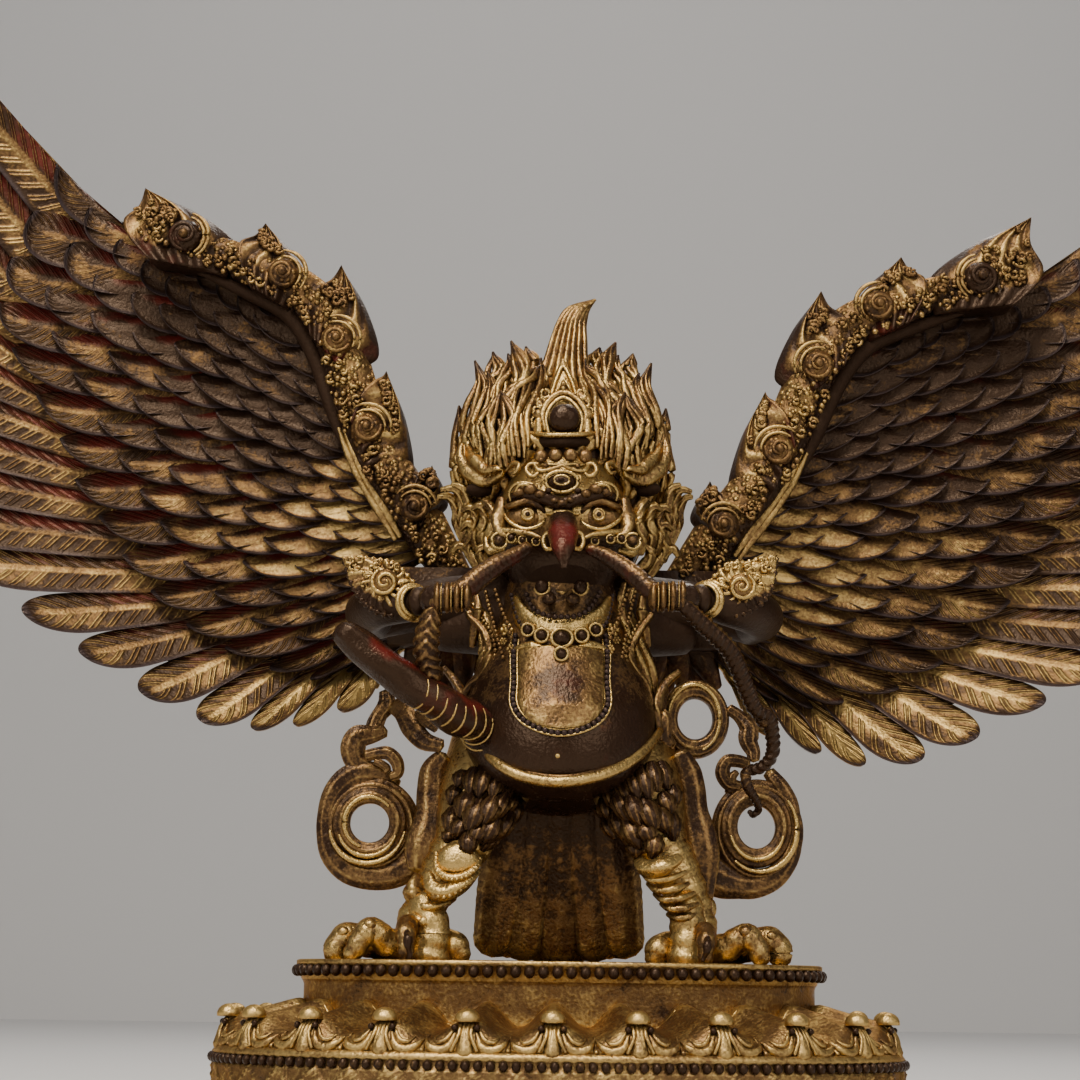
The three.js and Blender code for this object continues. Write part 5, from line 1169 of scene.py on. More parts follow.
# Locks of three or four strands; each has its like on the other side
locks = (
    ([(-25.7, -2, 166.1), (-27.7, -2, 172.9), (-26.8, -2, 181.3), (-27.5, -2, 188.2)], 1.6, 3),
    ([(-23.8, -8, 165.3), (-24.5, -8, 173.6), (-25.3, -8, 179.8), (-23.2, -8, 187.2), (-21.5, -7, 192.7),
      (-23.5, -5, 199.4)], 2.2, 4),
    ([(-25.7, -5, 170.6), (-24.1, -6, 178.3), (-22.9, -6, 184), (-24.6, -5, 188)], 1.3, 3),
    ([(-21.2, -13, 166.3), (-21.3, -13, 174.5), (-22.2, -13, 180.4), (-19.8, -12, 186.7), (-18.9, -10, 191.7),
      (-20.3, -7, 196.2)], 2.0, 4),
    ([(-18.1, -17, 166.4), (-17.7, -17, 173.6), (-19.6, -16.5, 179.9), (-17.7, -16, 185.2), (-16.3, -15, 188.8)],
     2.0, 4),
    ([(-14.6, -20, 168.3), (-15.5, -19.5, 175.1), (-14.1, -18.5, 181.5), (-15.2, -17, 185.7), (-16.5, -15.5, 188.7)],
     1.5, 3),
    ([(-12.2, -21, 170.7), (-12.8, -20, 178), (-11.7, -17, 185.5), (-9.8, -13, 191.3), (-7.8, -9, 196.6)], 1.8, 4),
    ([(-9.5, -20, 173.5), (-9.4, -18, 181.2), (-8.2, -14, 188.4), (-6.5, -10, 194.5), (-6.6, -7, 199.8)], 1.7, 3),
    ([(-16.7, -15, 183.4), (-13.5, -14, 187.8), (-11.3, -12, 193.1), (-11.9, -9, 199.2), (-14.3, -6, 204.5)], 2.3, 4),
    ([(-14, -14, 188.3), (-10.3, -13, 191.8), (-6.6, -9, 197.2)], 1.4, 3),
    ([(-17.6, -12, 187.8), (-16.2, -10, 193.1), (-14.2, -8, 197.3), (-15, -7, 200.8)], 1.4, 3),
    ([(-20.6, -3, 189.6), (-19.6, -3, 194.9), (-17.9, -2, 199), (-19, -2, 202.7)], 2.2, 4),
    ([(-16.4, -16, 167.2), (-17.5, -15.5, 174.5), (-16.6, -15, 180.3), (-18.3, -13.5, 187.4)], 2.6, 4),
    ([(-9.8, 4, 192.2), (-10.5, 5, 198.9), (-9.5, 5, 202.7), (-10.6, 6, 206.5)], 2.6, 4),
    ([(-15.4, 4, 184), (-16.3, 5, 191.8), (-15.1, 6, 197.5), (-16.3, 6, 201.8)], 2.8, 4))
tip_wear = np.linspace(0, 1, 28)[:, None, None] ** 3 * (0.3, 0.25, -0.25) + (0.05, 0.06, 0.02)
for side in (1, -1):
    for path, size, strands in locks:
        hair.add(tuft(flip(path, side), size, strands), tip_wear)
hair.add(tuft([(-0.4, 10, 193.3), (-1, 10, 201.5), (-0.1, 9, 206.7), (-1.1, 9, 209.4)], 3.6, 5))

for spot in ((-6.2, -24.6, 169.9), (-2.7, -25.8, 169.9), (1, -25.8, 170), (4.6, -24.6, 170.1)):
    hair.add(lump(np.array(spot) + (0, 0.4, 0), (1.75, 1.2, 1.7), 12, 18), (0.2, 0.1, -0.06))
hair.add(bar([(-9.2, -20, 168.9), (-6.2, -23.6, 167.9), (-2.8, -25, 167.7), (-0.8, -25.4, 167.5), (1.1, -25, 167.8),
              (4.6, -23.6, 168), (7.6, -20, 169.2)], [0.45, 0.6, 0.55, 0.6, 0.45], 50, 10), (0, 0, 0.25))
hair.add(bar([(-8.5, -19.5, 176.9), (-4.6, -22.6, 175.8), (-0.8, -23.4, 175.6), (3.1, -22.6, 176),
              (7.1, -19.5, 177.1)], [0.5, 0.65, 0.65, 0.65, 0.5], 40, 10), (0, 0, 0.3))
hair.add(bar([(-8.4, -17, 179), (-0.7, -19.4, 178.5), (6.9, -17, 179.2)], [1.5, 1.8, 1.5], 30, 12, flat=1.2))
# The shelf's deep recess: a blackened bar, painted shadow under the ledge
hair.add(bar([(-8.8, -17, 175.3), (-0.9, -21.6, 174.3), (7.4, -17, 175.5)], [1.2, 1.5, 1.2], 30, 14), (0, 0, -2))
for side in (-1, 1):
    hair.add(bar(flip([(5.1, -20.4, 176.8), (5.1, -20, 180.1)], side), [1.1, 1.0], 10, 10), (0, 0, 0.7))
    hair.add(lump(flip((5.1, -19.6, 181.7), side), (1.5, 1.2, 1.3), 8, 10), (0, 0.2, 0.1))
jewel = np.array((-0.6, -21.4, 180.2))
hair.add(lump(jewel, (4.1, 3.4, 3.9), 20, 28), (0.25, 0.2, -0.45))
hair.add(bar([(-4.4, -22, 176.3), (-5.1, -21.4, 180.5), (-3.5, -20.6, 184.2), (-0.8, -20, 186), (1.9, -20.6, 184.2),
              (3.8, -21.4, 180.6), (3.3, -22, 176.4)], [0.5, 0.5, 0.55, 0.5, 0.5], 60, 8), (0, 0, 0.8))
hair.add(bar([(-5.1, -20.6, 177.7), (-6, -20, 181.6), (-4.3, -19.2, 185.5), (-0.8, -18.6, 187.6), (2.8, -19.2, 185.6),
              (4.8, -20, 181.8), (4.1, -20.6, 177.8)], [0.8, 0.9, 0.9, 0.9, 0.8], 60, 10), (0, 0, 0.1))
hair.add(bar([(-0.8, -17, 185.5), (-0.9, -15.4, 191.9), (-1, -13.6, 197.6)], [4.4, 3.0, 0.4], 24, 12, flat=0.5,
             across=(1, 0, 0)), (0, 0, 0.1))
hair.add(bar([(-3.9, -18.4, 187.2), (-2.7, -17.4, 191.4), (-1, -16, 195.2), (1, -17.4, 191.4), (2.3, -18.4, 187.3)],
             [0.4, 0.5, 0.5, 0.4], 40, 8), (0, 0, 0.5))
hair.add(bar([(-2.3, -18.8, 188.4), (-0.9, -18.2, 191.2), (0.8, -18.8, 188.5)], [0.35, 0.45, 0.35], 24, 7),
         (0, 0, 0.6))
for spot in ((-0.9, -19, 188.6), (-5.2, -17.4, 187.5), (2.9, -17.4, 186.6), (-4.3, -14, 193.6), (-0.9, -18.6, 189.9)):
    hair.add(lump(spot, (0.8, 0.7, 0.8), 7, 9), (0, 0.3, 0.2))
for side in (-1, 1):
    for centre in ((4.6, -18.6, 185.1), (5.5, -18.6, 182.8), (5.9, -18.6, 180.1), (3.6, -18.6, 187.3)):
        centre = flip(centre, side)
        hair.add(bar(arc_path(centre, 1.1, 1.1, 90, 90 + side * 330, 16), [0.35, 0.5, 0.35], 20, 7), (0, 0, 0.4))
hair.make(figure_metal)

# ARMS AND SNAKE
# Arms bent forwards behind leaf-shaped guards with a scroll each, cuffs with beaded rims, and fists that hold a
# scaled snake drawn through the beak; its thick banded end lies over the left hip as a smooth lacquered club.

arms = Casting("arms", "figure_bronze")
for side, fist, cuff, leaf_line, spiral, spin in (
        (-1, [(-30.7, -36, 132.2), (-23.2, -37.5, 132.2)], (-36.4, -31, 131.9),
         [(-37.3, -29, 132.9), (-42.3, -29, 134.8), (-48, -26, 138.1), (-54.3, -24, 144)], (-43.2, -31, 136.7), 1),
        (1, [(28.1, -36, 133.4), (20.7, -37.5, 132.8)], (33.8, -31, 133.5),
         [(35.1, -29, 133.9), (40.7, -29, 135.9), (46.6, -26, 139.1), (51.7, -24, 146)], (42.2, -31, 136.8), -1)):
    fist, cuff, spiral = np.array(fist), np.array(cuff), np.array(spiral)
    # Upper arm and forearm are blackened: painted shade of the dark hollow behind the guards and under the arms
    arms.add(bar([(side * 16, 2, 138), (side * 34, 2, 137), (side * 47, -3, 133)], [7.5, 6.6, 5.6], 30, 24),
             (0, 0, -1.8))
    arms.add(bar([(side * 47, -1, 133), (side * 48.5, -14, 132.4), (side * 44, -24, 132), cuff + (0, 2, 0)],
                 [5.6, 5.6, 5, 4.2], 40, 24), (0, 0, -1.7))
    way = unit_of(fist[0] - cuff)
    facing = unit_of(way + (0, -0.8, 0))
    for size, push, thick, gild in ((4.0, 0.2, 0.8, 0.7), (3.5, 1.3, 0.55, 0.3)):
        turn = np.arange(40) / 40 * 2 * np.pi
        face = unit_of(np.cross(facing, (0, 0, 1)))
        lift = np.cross(face, facing)
        ring = face * np.cos(turn)[:, None] * size + lift * np.sin(turn)[:, None] * size
        tube = np.arange(8) / 8 * 2 * np.pi
        grid = (cuff + facing * push + ring[:, None] * (1 + thick / size * np.cos(tube)[:, None])
                + facing * (np.sin(tube)[:, None] * thick))
        arms.add(grid, (0, 0, gild), ring=True)
    arms.add(lump(cuff + facing * 0.4 + ring * 1.24, 0.42, 6, 8), (0, 0.1, 0.4))
    # A black lump inside the cuff: painted shadow between the cuff and the fist
    arms.add(lump(cuff + way * 1.9 + (0, -0.6, 0), (2.7, 2.6, 3.5), 12, 18), (0, 0, -1.6))
    hand = np.array([fist[0] + way * -1.8, fist[0] + (fist[1] - fist[0]) * 0.3])
    arms.add(bar(hand, [3.4, 3.5], 16, 20), (0, 0.3, -0.9))
    along = np.linspace(0.05, 1, 4)[:, None]
    knuckles = fist[0] + (fist[1] - fist[0]) * along + np.array([0, -0.6, 0])
    arms.add(lump(knuckles, np.array([[1.15, 3.4, 3.75]] * 3 + [[1.2, 3.1, 3.4]]), 16, 22), (0.15, 0.35, 0.1))
    seams = fist[0] + (fist[1] - fist[0]) * (np.array([0.18, 0.5, 0.84])[:, None]) + np.array([0, -0.6, 0])
    arms.add(lump(seams, (0.42, 3.32, 3.6), 14, 20), (0.1, -0.3, 0.8))

    # Leaf guard: spine from the cuff to its tip, wide in the middle, with flame ridges and a rim of curls
    rows, columns = 34, 23
    spine = smooth_line(leaf_line, np.linspace(0, 1, rows))
    share = np.linspace(0, 1, rows)[:, None]
    tangent = unit_of(np.gradient(spine, axis=0))
    normal = unit_of(np.cross(tangent, (0, 1, 0))) * side
    half = 2.4 + 4.4 * np.sin(np.pi * np.clip(share * 0.8 + 0.08, 0, 1)) ** 0.8
    half = np.stack([half * (1 - share**2.4), half * (1 - share**6)])
    across = np.r_[np.linspace(-1, 1, columns), np.linspace(0.93, -0.93, 7)]
    face = np.r_[np.ones(columns), np.zeros(7)]
    scallop = 1 + 0.07 * np.sin(share * 34)
    wide = np.where(across < 0, half[0], half[1])
    guard = spine[:, None] + normal[:, None] * (wide * across * scallop)[..., None]
    from_scroll = guard[..., [0, 2]] - spiral[[0, 2]]
    spin_angle = np.arctan2(from_scroll[..., 1], side * from_scroll[..., 0])
    fan = 0.9 * np.cos(13 * spin_angle + 0.9 * np.linalg.norm(from_scroll, axis=-1)) * (1 - np.abs(across)) ** 0.2
    depth = np.where(face > 0, 2.1 - 1.9 * across**2 * (1 - share) + fan, -1.0) * (1 - 0.45 * share)
    guard = guard + np.array([0, -1, 0]) * depth[..., None]
    # The guard's lower part near the cuff is darkened: painted shade on its underside
    dark = np.clip((-across - 0.45) / 0.3, 0, 1) * np.clip((0.75 - share) / 0.25, 0, 1)
    arms.add(capped(guard), capped(shades(0, 0, (0.25 if side > 0 else 0.08) - 1.5 * dark)))
    # The lower rim is darker, painted shade; the upper one keeps its gold
    for edge in (-1, 1):
        rim_line = spine + normal * (half[max(edge, 0)] * edge * 0.97) + (0, -0.6, 0)
        arms.add(bar(rim_line[1:-1], [0.4, 0.6, 0.65, 0.55, 0.3], 60, 9,
                     relief=lambda length, turn: 0.24 * np.sin(length * 3.4)), (0, 0.1, 0.2 if edge > 0 else -0.5))
    curve = scroll_path(3.3, 1.7, 2.2, 0.16, 46)
    curve = spiral + np.stack([curve[:, 0] * spin, np.linspace(-0.2, -2, 46), curve[:, 1]], axis=-1)
    arms.add(bar(curve, [0.5, 0.62, 0.6, 0.4], 60, 8), (0, 0, 0.25))
    arms.add(lump(spiral + (0, 0.6, 0), (3.4, 1.9, 3.4), 12, 20), (0, 0, -0.2))
    arms.add(lump(spiral + (0, -1.6, 0), (1, 0.9, 1), 8, 10), (0, 0.4, 0))
    local = np.random.default_rng(31)
    count = 30
    where = local.uniform(0.15, 0.93, count)
    base = np.stack([np.interp(where, share[:, 0], spine[:, k]) for k in range(3)], axis=-1)
    size = np.interp(where, share[:, 0], half[1, :, 0])
    flat_normal = np.stack([np.interp(where, share[:, 0], normal[:, k]) for k in range(3)], axis=-1)
    base = base + flat_normal * (local.uniform(-0.3, 0.95, count) * size)[:, None] + (0, -1.7, 0)
    keep = np.linalg.norm((base - spiral)[:, [0, 2]], axis=1) > 4.4
    curls = np.insert(spun(scroll_path(1.0, 0.9, 0, 0.35, 9), local.uniform(0, 6.28, count)[keep, None]), 1, 0,
                      axis=-1)
    arms.add(bar(base[keep][:, None] + curls, [0.3, 0.42, 0.3], 12, 6), (0, 0.05, 0.15))


def scales(depth, pitch, lean):
    """Relief of scales along a bar: a cosine of the length over the pitch, delayed by the lean times the turn's
    angle from the front, so that its ridges meet in points there."""
    def relief(length, turn):
        aside = np.abs(np.arctan2(np.cos(turn), np.sin(turn)))
        return depth * np.cos(2 * np.pi * (length / pitch - lean * aside))
    return relief


def lit(turns, middle, width, red, low, high):
    """Finish round a bar with a painted highlight: the gold's bias rises from low to high in a bell round the
    middle turn, the lit upper side; red is even.
    """
    turn = np.arange(turns) / turns * 2 * np.pi
    away = np.abs((turn - middle + np.pi) % (2 * np.pi) - np.pi)
    bell = np.exp(-((away / width) ** 2))
    return shades(red, 0.15, low + (high - low) * bell)[None]


snake = Casting("snake", "figure_bronze")
left_part = [(-30.8, -37, 131), (-28.8, -37, 132.1), (-24.3, -37, 134.1), (-20.1, -35.5, 137.8), (-16.3, -34, 140.9),
             (-12.7, -32.5, 143.2), (-9.3, -31, 145.6)]
snake.add(bar(left_part, [2.1, 2.6, 2.8, 2.7, 2.4, 2.0, 1.6], 120, 20, relief=scales(0.04, 1.6, 0.6)),
          lit(20, 0.8, 0.9, 0.35, -0.5, 0.02))
snake.add(bar([(-31.2, -36, 129.7), (-31.8, -36, 127.4), (-32.5, -35, 124.1), (-32.8, -34, 120.8),
               (-32.5, -32.5, 117.6), (-31.4, -31, 114.4)], [1.9, 2.5, 2.95, 3.0, 3.0, 2.6], 110, 24, across=(1, 0, 0),
              relief=scales(0.3, 2.6, 0.75)), (0, 0.15, -0.22))
right_part = [(5.9, -31, 145.5), (9.3, -32.5, 143.8), (13.4, -34, 141), (17, -35.5, 138), (20.6, -37, 134.3),
              (24, -37, 132.3), (27.7, -37, 132.4)]
snake.add(bar(right_part, [1.4, 1.9, 2.2, 2.4, 2.4, 2.2, 1.7], 120, 20, relief=scales(0.05, 1.6, 0.6)),
          lit(20, 0.8, 0.9, 0.35, -0.5, 0.05))
snake.add(bar([(26.9, -37.5, 132.1), (29.3, -36.5, 130.1), (32.4, -34.5, 127.4), (36.4, -32, 124.4),
               (39.7, -29.5, 121.3), (41.9, -27.5, 117.4), (44, -25, 112.8), (46.4, -22.5, 108.5), (49.4, -20, 107.1),
               (50.8, -18, 102.7), (51, -16.5, 98.9), (49.8, -15.5, 96.4), (47.8, -14.5, 95), (46.1, -13.5, 94.7)],
              [1.9, 2.1, 2.2, 2.25, 2.2, 2.15, 2.1, 2.0, 1.9, 1.7, 1.5, 1.3], 240, 20, relief=scales(0.16, 1.7, 0.4)),
          lit(20, 0.85, 0.6, 0.1, -0.8, 0.16))
snake.add(bar([(46.5, -13.5, 94.8), (44.9, -13.6, 94.2), (44.9, -13.4, 91.4), (46.1, -12.6, 89.2), (47.7, -11, 87),
               (48.1, -9.4, 85.3), (47, -8.6, 84.2), (46.1, -8.4, 84.9)],
              [1.2, 1.35, 1.3, 1.15, 1.0, 0.85, 0.7], 60, 14, relief=scales(0.12, 1.4, 0.4)), (0.1, 0.2, -0.4))
snake.add(lump((48.4, -19.6, 106.6), (2, 2.2, 2.4), 10, 14), (0, 0.4, -0.2))
club = [(-51.6, -35, 123.2), (-48, -34.6, 120.5), (-43.4, -34, 116.8), (-38.9, -33, 113.6), (-34.9, -32, 111.1),
        (-30.5, -30.5, 108.7), (-26, -28, 105.7), (-22.3, -25, 104.8), (-20.4, -22, 103.1)]
along, turn = np.linspace(0, 1, 126)[:, None], np.arange(36) / 36 * 2 * np.pi
streak = np.exp(-(((turn - 0.6 - 0.35 * np.sin(9 * along)) / 0.75) ** 2)) * np.clip((along - 0.06) / 0.1, 0, 1)
wrapped = np.clip((along - 0.5) / 0.05, 0, 1)
snake.add(bar(club, [3.3, 3.9, 4.3, 4.2, 4.3, 4.6, 4.9, 4.9, 4.4], 120, 36, cap=1.0,
              relief=lambda length, turn: 0.22 * np.sin(length * 0.42 + 2 * turn) + 0.12 * np.cos(6 * turn)),
          shades(np.maximum(0.62 * streak, 0.42 * wrapped), 0.1, -1.3 + 0.6 * wrapped))
bands = even_line(club[4:], 9)
direction = unit_of(np.gradient(bands, axis=0))
radius = np.linspace(4.45, 5, 9)
for spot, way, size in zip(bands, direction, radius):
    turn = np.radians(np.linspace(-130, 20, 26))
    face = unit_of(np.cross(way, (0, -1, 0)))
    front = np.cross(way, face)
    bow = 2.4 * np.cos(turn + 1.0)[:, None] * way
    line = spot + (face * np.cos(turn)[:, None] + front * np.sin(turn)[:, None]) * size + bow
    snake.add(bar(line, [0.16, 0.3, 0.3, 0.16], 26, 6), (0, 0, 0.3))
arms.make(figure_metal)
snake.make(figure_metal)

# SCARVES
# Cast ribbons with folded ridges: loops at the waist, strips down the thighs and ends that curl into open rings
# beside the knees. Their proud edges are rubbed and keep some red lacquer.

scarves = Casting("scarves", "figure_bronze")


def flat_bar(path, wide, thick):
    """Ribbon that lies in the plane of the wings: at every point of the path its section is wide along the path's
    own normal in that plane and thick along y, and a cosine of the share across gives its folds."""
    rows, columns, folds, depth = 48, 22, 4, 0.28
    line = even_line(path, rows)
    tangent = unit_of(np.gradient(line, axis=0))
    side_way = unit_of(np.stack([-tangent[:, 2], 0 * tangent[:, 1], tangent[:, 0]], axis=-1))
    place = np.linspace(0, len(wide) - 1, rows)
    half = np.interp(place, np.arange(len(wide)), wide)[:, None]
    turn = np.arange(columns) / columns * 2 * np.pi
    across = np.cos(turn)
    rise = np.sign(np.sin(turn)) * np.abs(np.sin(turn)) ** 0.7 * thick
    fold = depth * np.cos(folds * np.pi * across) * (np.sin(turn) > 0.1)
    size = half / half.max()
    grid = (line[:, None] + side_way[:, None] * (half * across)[..., None]
            + np.array([0, -1, 0]) * ((rise + fold) * (0.5 + 0.5 * size))[..., None])
    ends = line[[0, -1]] + tangent[[0, -1]] * np.array([[-0.4], [0.4]]) * half[[0, -1]]
    return np.concatenate([np.broadcast_to(ends[0], (1, columns, 3)), grid, np.broadcast_to(ends[1], (1, columns, 3))])


bare_edge = (0.3, 0.1, -0.08)
left_ribbons = (
    ([(-44.6, 2, 114.7), (-44.2, 1, 111.2), (-46, 0, 108.1), (-46.8, -1, 105.1), (-45.2, -2, 103.1)],
     [1.6, 2.4, 2.0, 2.3, 1.6], 1.5),
    ([(-44, -3, 104.1), (-47, -3.5, 103.2), (-50.8, -4, 102.3), (-51.9, -4, 99.7), (-51.1, -4, 96.6),
      (-48.2, -4, 95.2)], [1.5, 2.2, 3.0, 3.2, 2.8, 1.8], 1.7),
    ([(-48.7, -4.5, 97.6), (-45.8, -5, 98.3), (-43, -5.5, 98.3), (-40.8, -5.5, 96.2), (-40.6, -5, 93.4),
      (-42.4, -5, 92.4)], [1.5, 1.5, 1.7, 1.7, 1.5, 1.0], 1.5),
    ([(-46.3, -5, 96.4), (-44.6, -5.2, 95.7), (-43.1, -5, 94.5), (-43.8, -5, 93.6)], [0.8, 1.0, 1.0, 0.6], 1.3),
    ([(-40.6, -2, 90.9), (-43.5, -3, 92.8), (-47.7, -4, 93.8), (-52.2, -4, 92.8), (-56.1, -4, 89), (-57.9, -4, 83.8),
      (-57.9, -4, 78.6), (-56.3, -4, 73.5), (-52.6, -4, 69.8), (-47.9, -4, 68.3), (-42.7, -4, 68.3), (-38.5, -4, 70),
      (-35.3, -4.5, 72.4), (-31.6, -5, 75.6)], [1.2, 2.4, 2.9, 3.0, 2.6, 2.2, 2.4, 2.9, 3.2, 3.3, 3.3, 3.6, 4.2, 4.4],
     2.0),
    ([(-42.7, 0, 111.1), (-39.6, -3, 108.8), (-37.2, -6, 104.7), (-33.9, -9, 101.1), (-29.5, -11, 99.8)],
     [2.0, 2.6, 2.8, 2.4, 1.6], 1.6),
    ([(-36.2, -5, 109.1), (-34, -8, 106.2), (-31, -11, 103.6)], [0.8, 1.3, 0.8], 1.2),
    ([(-29, -10, 97.5), (-31.4, -9, 94.1), (-31.7, -9, 88.9), (-31.3, -9.5, 83.3), (-31.9, -10, 78.6),
      (-33.2, -10, 73.9), (-33.6, -9, 69.4)], [2.0, 3.4, 3.9, 4.4, 5.2, 5.2, 3.6], 3.0))
for path, wide, thick in left_ribbons:
    scarves.add(flat_bar(path, wide, thick), bare_edge)
hole = np.array((-47.2, -4, 81.2))


def scarf_ring(centre, inner, outer, tall, folds):
    """Ring of a ribbon in the plane of the wings: its section runs from the inner radius to the outer one, both
    stretched upwards by tall, and cosines of the share across press folds into its front."""
    turn = (np.arange(72) / 72 * 2 * np.pi)[:, None]
    section = np.arange(26) / 26 * 2 * np.pi
    across = np.cos(section)
    middle, half = (inner + outer) / 2, (outer - inner) / 2
    radius = middle + half * across
    rise = np.abs(np.sin(section)) ** 0.7 * np.sign(np.sin(section)) * 2.3
    fold = 0.3 * np.cos(folds * np.pi * across) * (np.sin(section) > 0.1)
    return centre + np.stack([np.cos(turn) * radius, -(rise + fold) + 0 * turn, np.sin(turn) * radius * tall], axis=-1)


def fold_lines(centre, *lines):
    """Raised lines on a ring, each an arc about its centre: its shift, half width, half height, both angles in
    degrees, thickness and finish."""
    for shift, wide, tall, start, end, thick, finish_and_shade in lines:
        arc = arc_path(centre + shift, wide, tall, start, end, 30)
        scarves.add(bar(arc, [0.4, thick, thick, 0.4], 50, 8), finish_and_shade)


scarves.add(scarf_ring(hole, 4.75, 9.2, 1.0, 2), bare_edge, ring=True)
scarves.add(scarf_ring(hole + (0.4, 0.9, -0.6), 8.0, 12.0, 1.0, 2), bare_edge, ring=True)
fold_lines(hole, ((-0.4, -2.2, -0.6), 7.3, 7.6, 200, 340, 0.7, (0.1, 0, 0.4)),
           ((-0.4, -2.4, -0.6), 9.3, 9.4, 190, 350, 0.8, (0.2, 0, 0.3)),
           ((0, -2.4, 0), 6.1, 6.3, 40, 250, 0.8, (0.3, 0, 0.3)))
right_ribbons = (
    ([(25.5, -4, 117.3), (24.2, -6, 113), (23.5, -8, 108.4), (24.8, -9, 107.6), (25.1, -9, 102.9), (27, -8, 100.6)],
     [1.2, 1.8, 2.0, 2.1, 2.2, 1.6], 1.8),
    ([(41.5, -2, 111), (44.1, -2, 109.2), (46.4, -3, 106.2), (46.3, -4, 102.7), (47.4, -4.5, 99.9), (47.4, -5, 97.9)],
     [1.4, 1.6, 2.3, 2.6, 2.0, 1.5], 1.6),
    ([(46.1, -5.5, 96.9), (43.5, -5.5, 97.6), (40.9, -5.5, 97.5), (39.7, -5.5, 94.9), (41.2, -5, 92.1),
      (44.1, -4.6, 91.3)], [1.5, 1.6, 1.7, 1.9, 1.8, 1.4], 1.6),
    ([(41.7, -4, 89.9), (42.1, -5, 93.6), (43.3, -5, 95)], [1.4, 1.4, 0.8], 1.5),
    ([(51.3, -3, 95.3), (54.1, -4, 91.5), (56.4, -4, 87.3), (57.2, -4, 82.1), (57, -4, 76.9), (55.3, -4, 72.7),
      (52, -4, 68.9), (47.3, -4, 67), (42.6, -4, 67.4), (39.3, -4.5, 68.3), (36, -5, 70.1)],
     [1.6, 2.2, 2.2, 2.0, 2.2, 2.6, 2.8, 2.9, 3.1, 4.2, 4.8], 2.0),
    ([(28.6, -10, 98.8), (30.5, -9, 94.9), (31.5, -9, 90.2), (31.9, -9, 85.1), (33.1, -9.5, 80), (34, -10, 74.9),
      (34.2, -9.5, 68.4), (34.5, -8.5, 63.4)], [2.4, 3.6, 3.8, 4.0, 4.6, 4.6, 3.8, 2.6], 2.8))
for path, wide, thick in right_ribbons:
    scarves.add(flat_bar(path, wide, thick), bare_edge)
scarves.add(scarf_ring(np.array((33.2, -1, 108.4)), 4.3, 8.6, 1.16, 3), bare_edge, ring=True)
waist = np.array((32.8, -3.4, 108.4))
scarves.add(bar(arc_path(waist, 6.4, 8.4, -70, 200, 34), [0.3, 0.7, 0.7, 0.3], 60, 8), (0, 0, 0.4))
right_hole = np.array((48.1, -4, 81.5))
scarves.add(scarf_ring(right_hole, 4.6, 8.9, 1.13, 2), bare_edge, ring=True)
scarves.add(scarf_ring(right_hole + (0.3, 0.9, -1), 8.0, 11.4, 1.13, 2), bare_edge, ring=True)
fold_lines(right_hole, ((0, -2.4, -0.4), 6.6, 7.6, 195, 345, 0.7, (0, 0, 0.4)),
           ((0.6, -2.4, -0.4), 9.2, 10.6, 230, 400, 0.8, (0.1, 0, 0.4)))
scarves.add(lump((36.5, -7, 61.4), (1.6, 1.6, 2.6), 9, 12))
scarves.make(figure_metal)

# LEGS AND TAIL
# Feathered thighs with a smooth gilt knee pad in a beaded cuff, shanks bound like a bird's and hooked toes that
# grip the pedestal. Between them hangs a fan of long tail feathers, dark at the root and turning amber-gold
# towards the lower ends.

legs = Casting("legs", "figure_bronze")


def feathered(root, tip, size, casting, gild):
    """Small body feather: a flattened bar from root to tip with three grooves along it."""
    root, tip = np.array(root), np.array(tip)
    bow = (root + tip) / 2 + np.array([0, -0.9, 0])
    casting.add(bar([root, bow, tip], [size * 0.7, size * 1.2, size * 0.95, size * 0.2], 14, 16, flat=0.36,
                    across=(1, 0, 0), relief=lambda length, turn: 0.2 * size * np.cos(8 * turn)),
                np.array(gild) - (0, 0, 0.2))


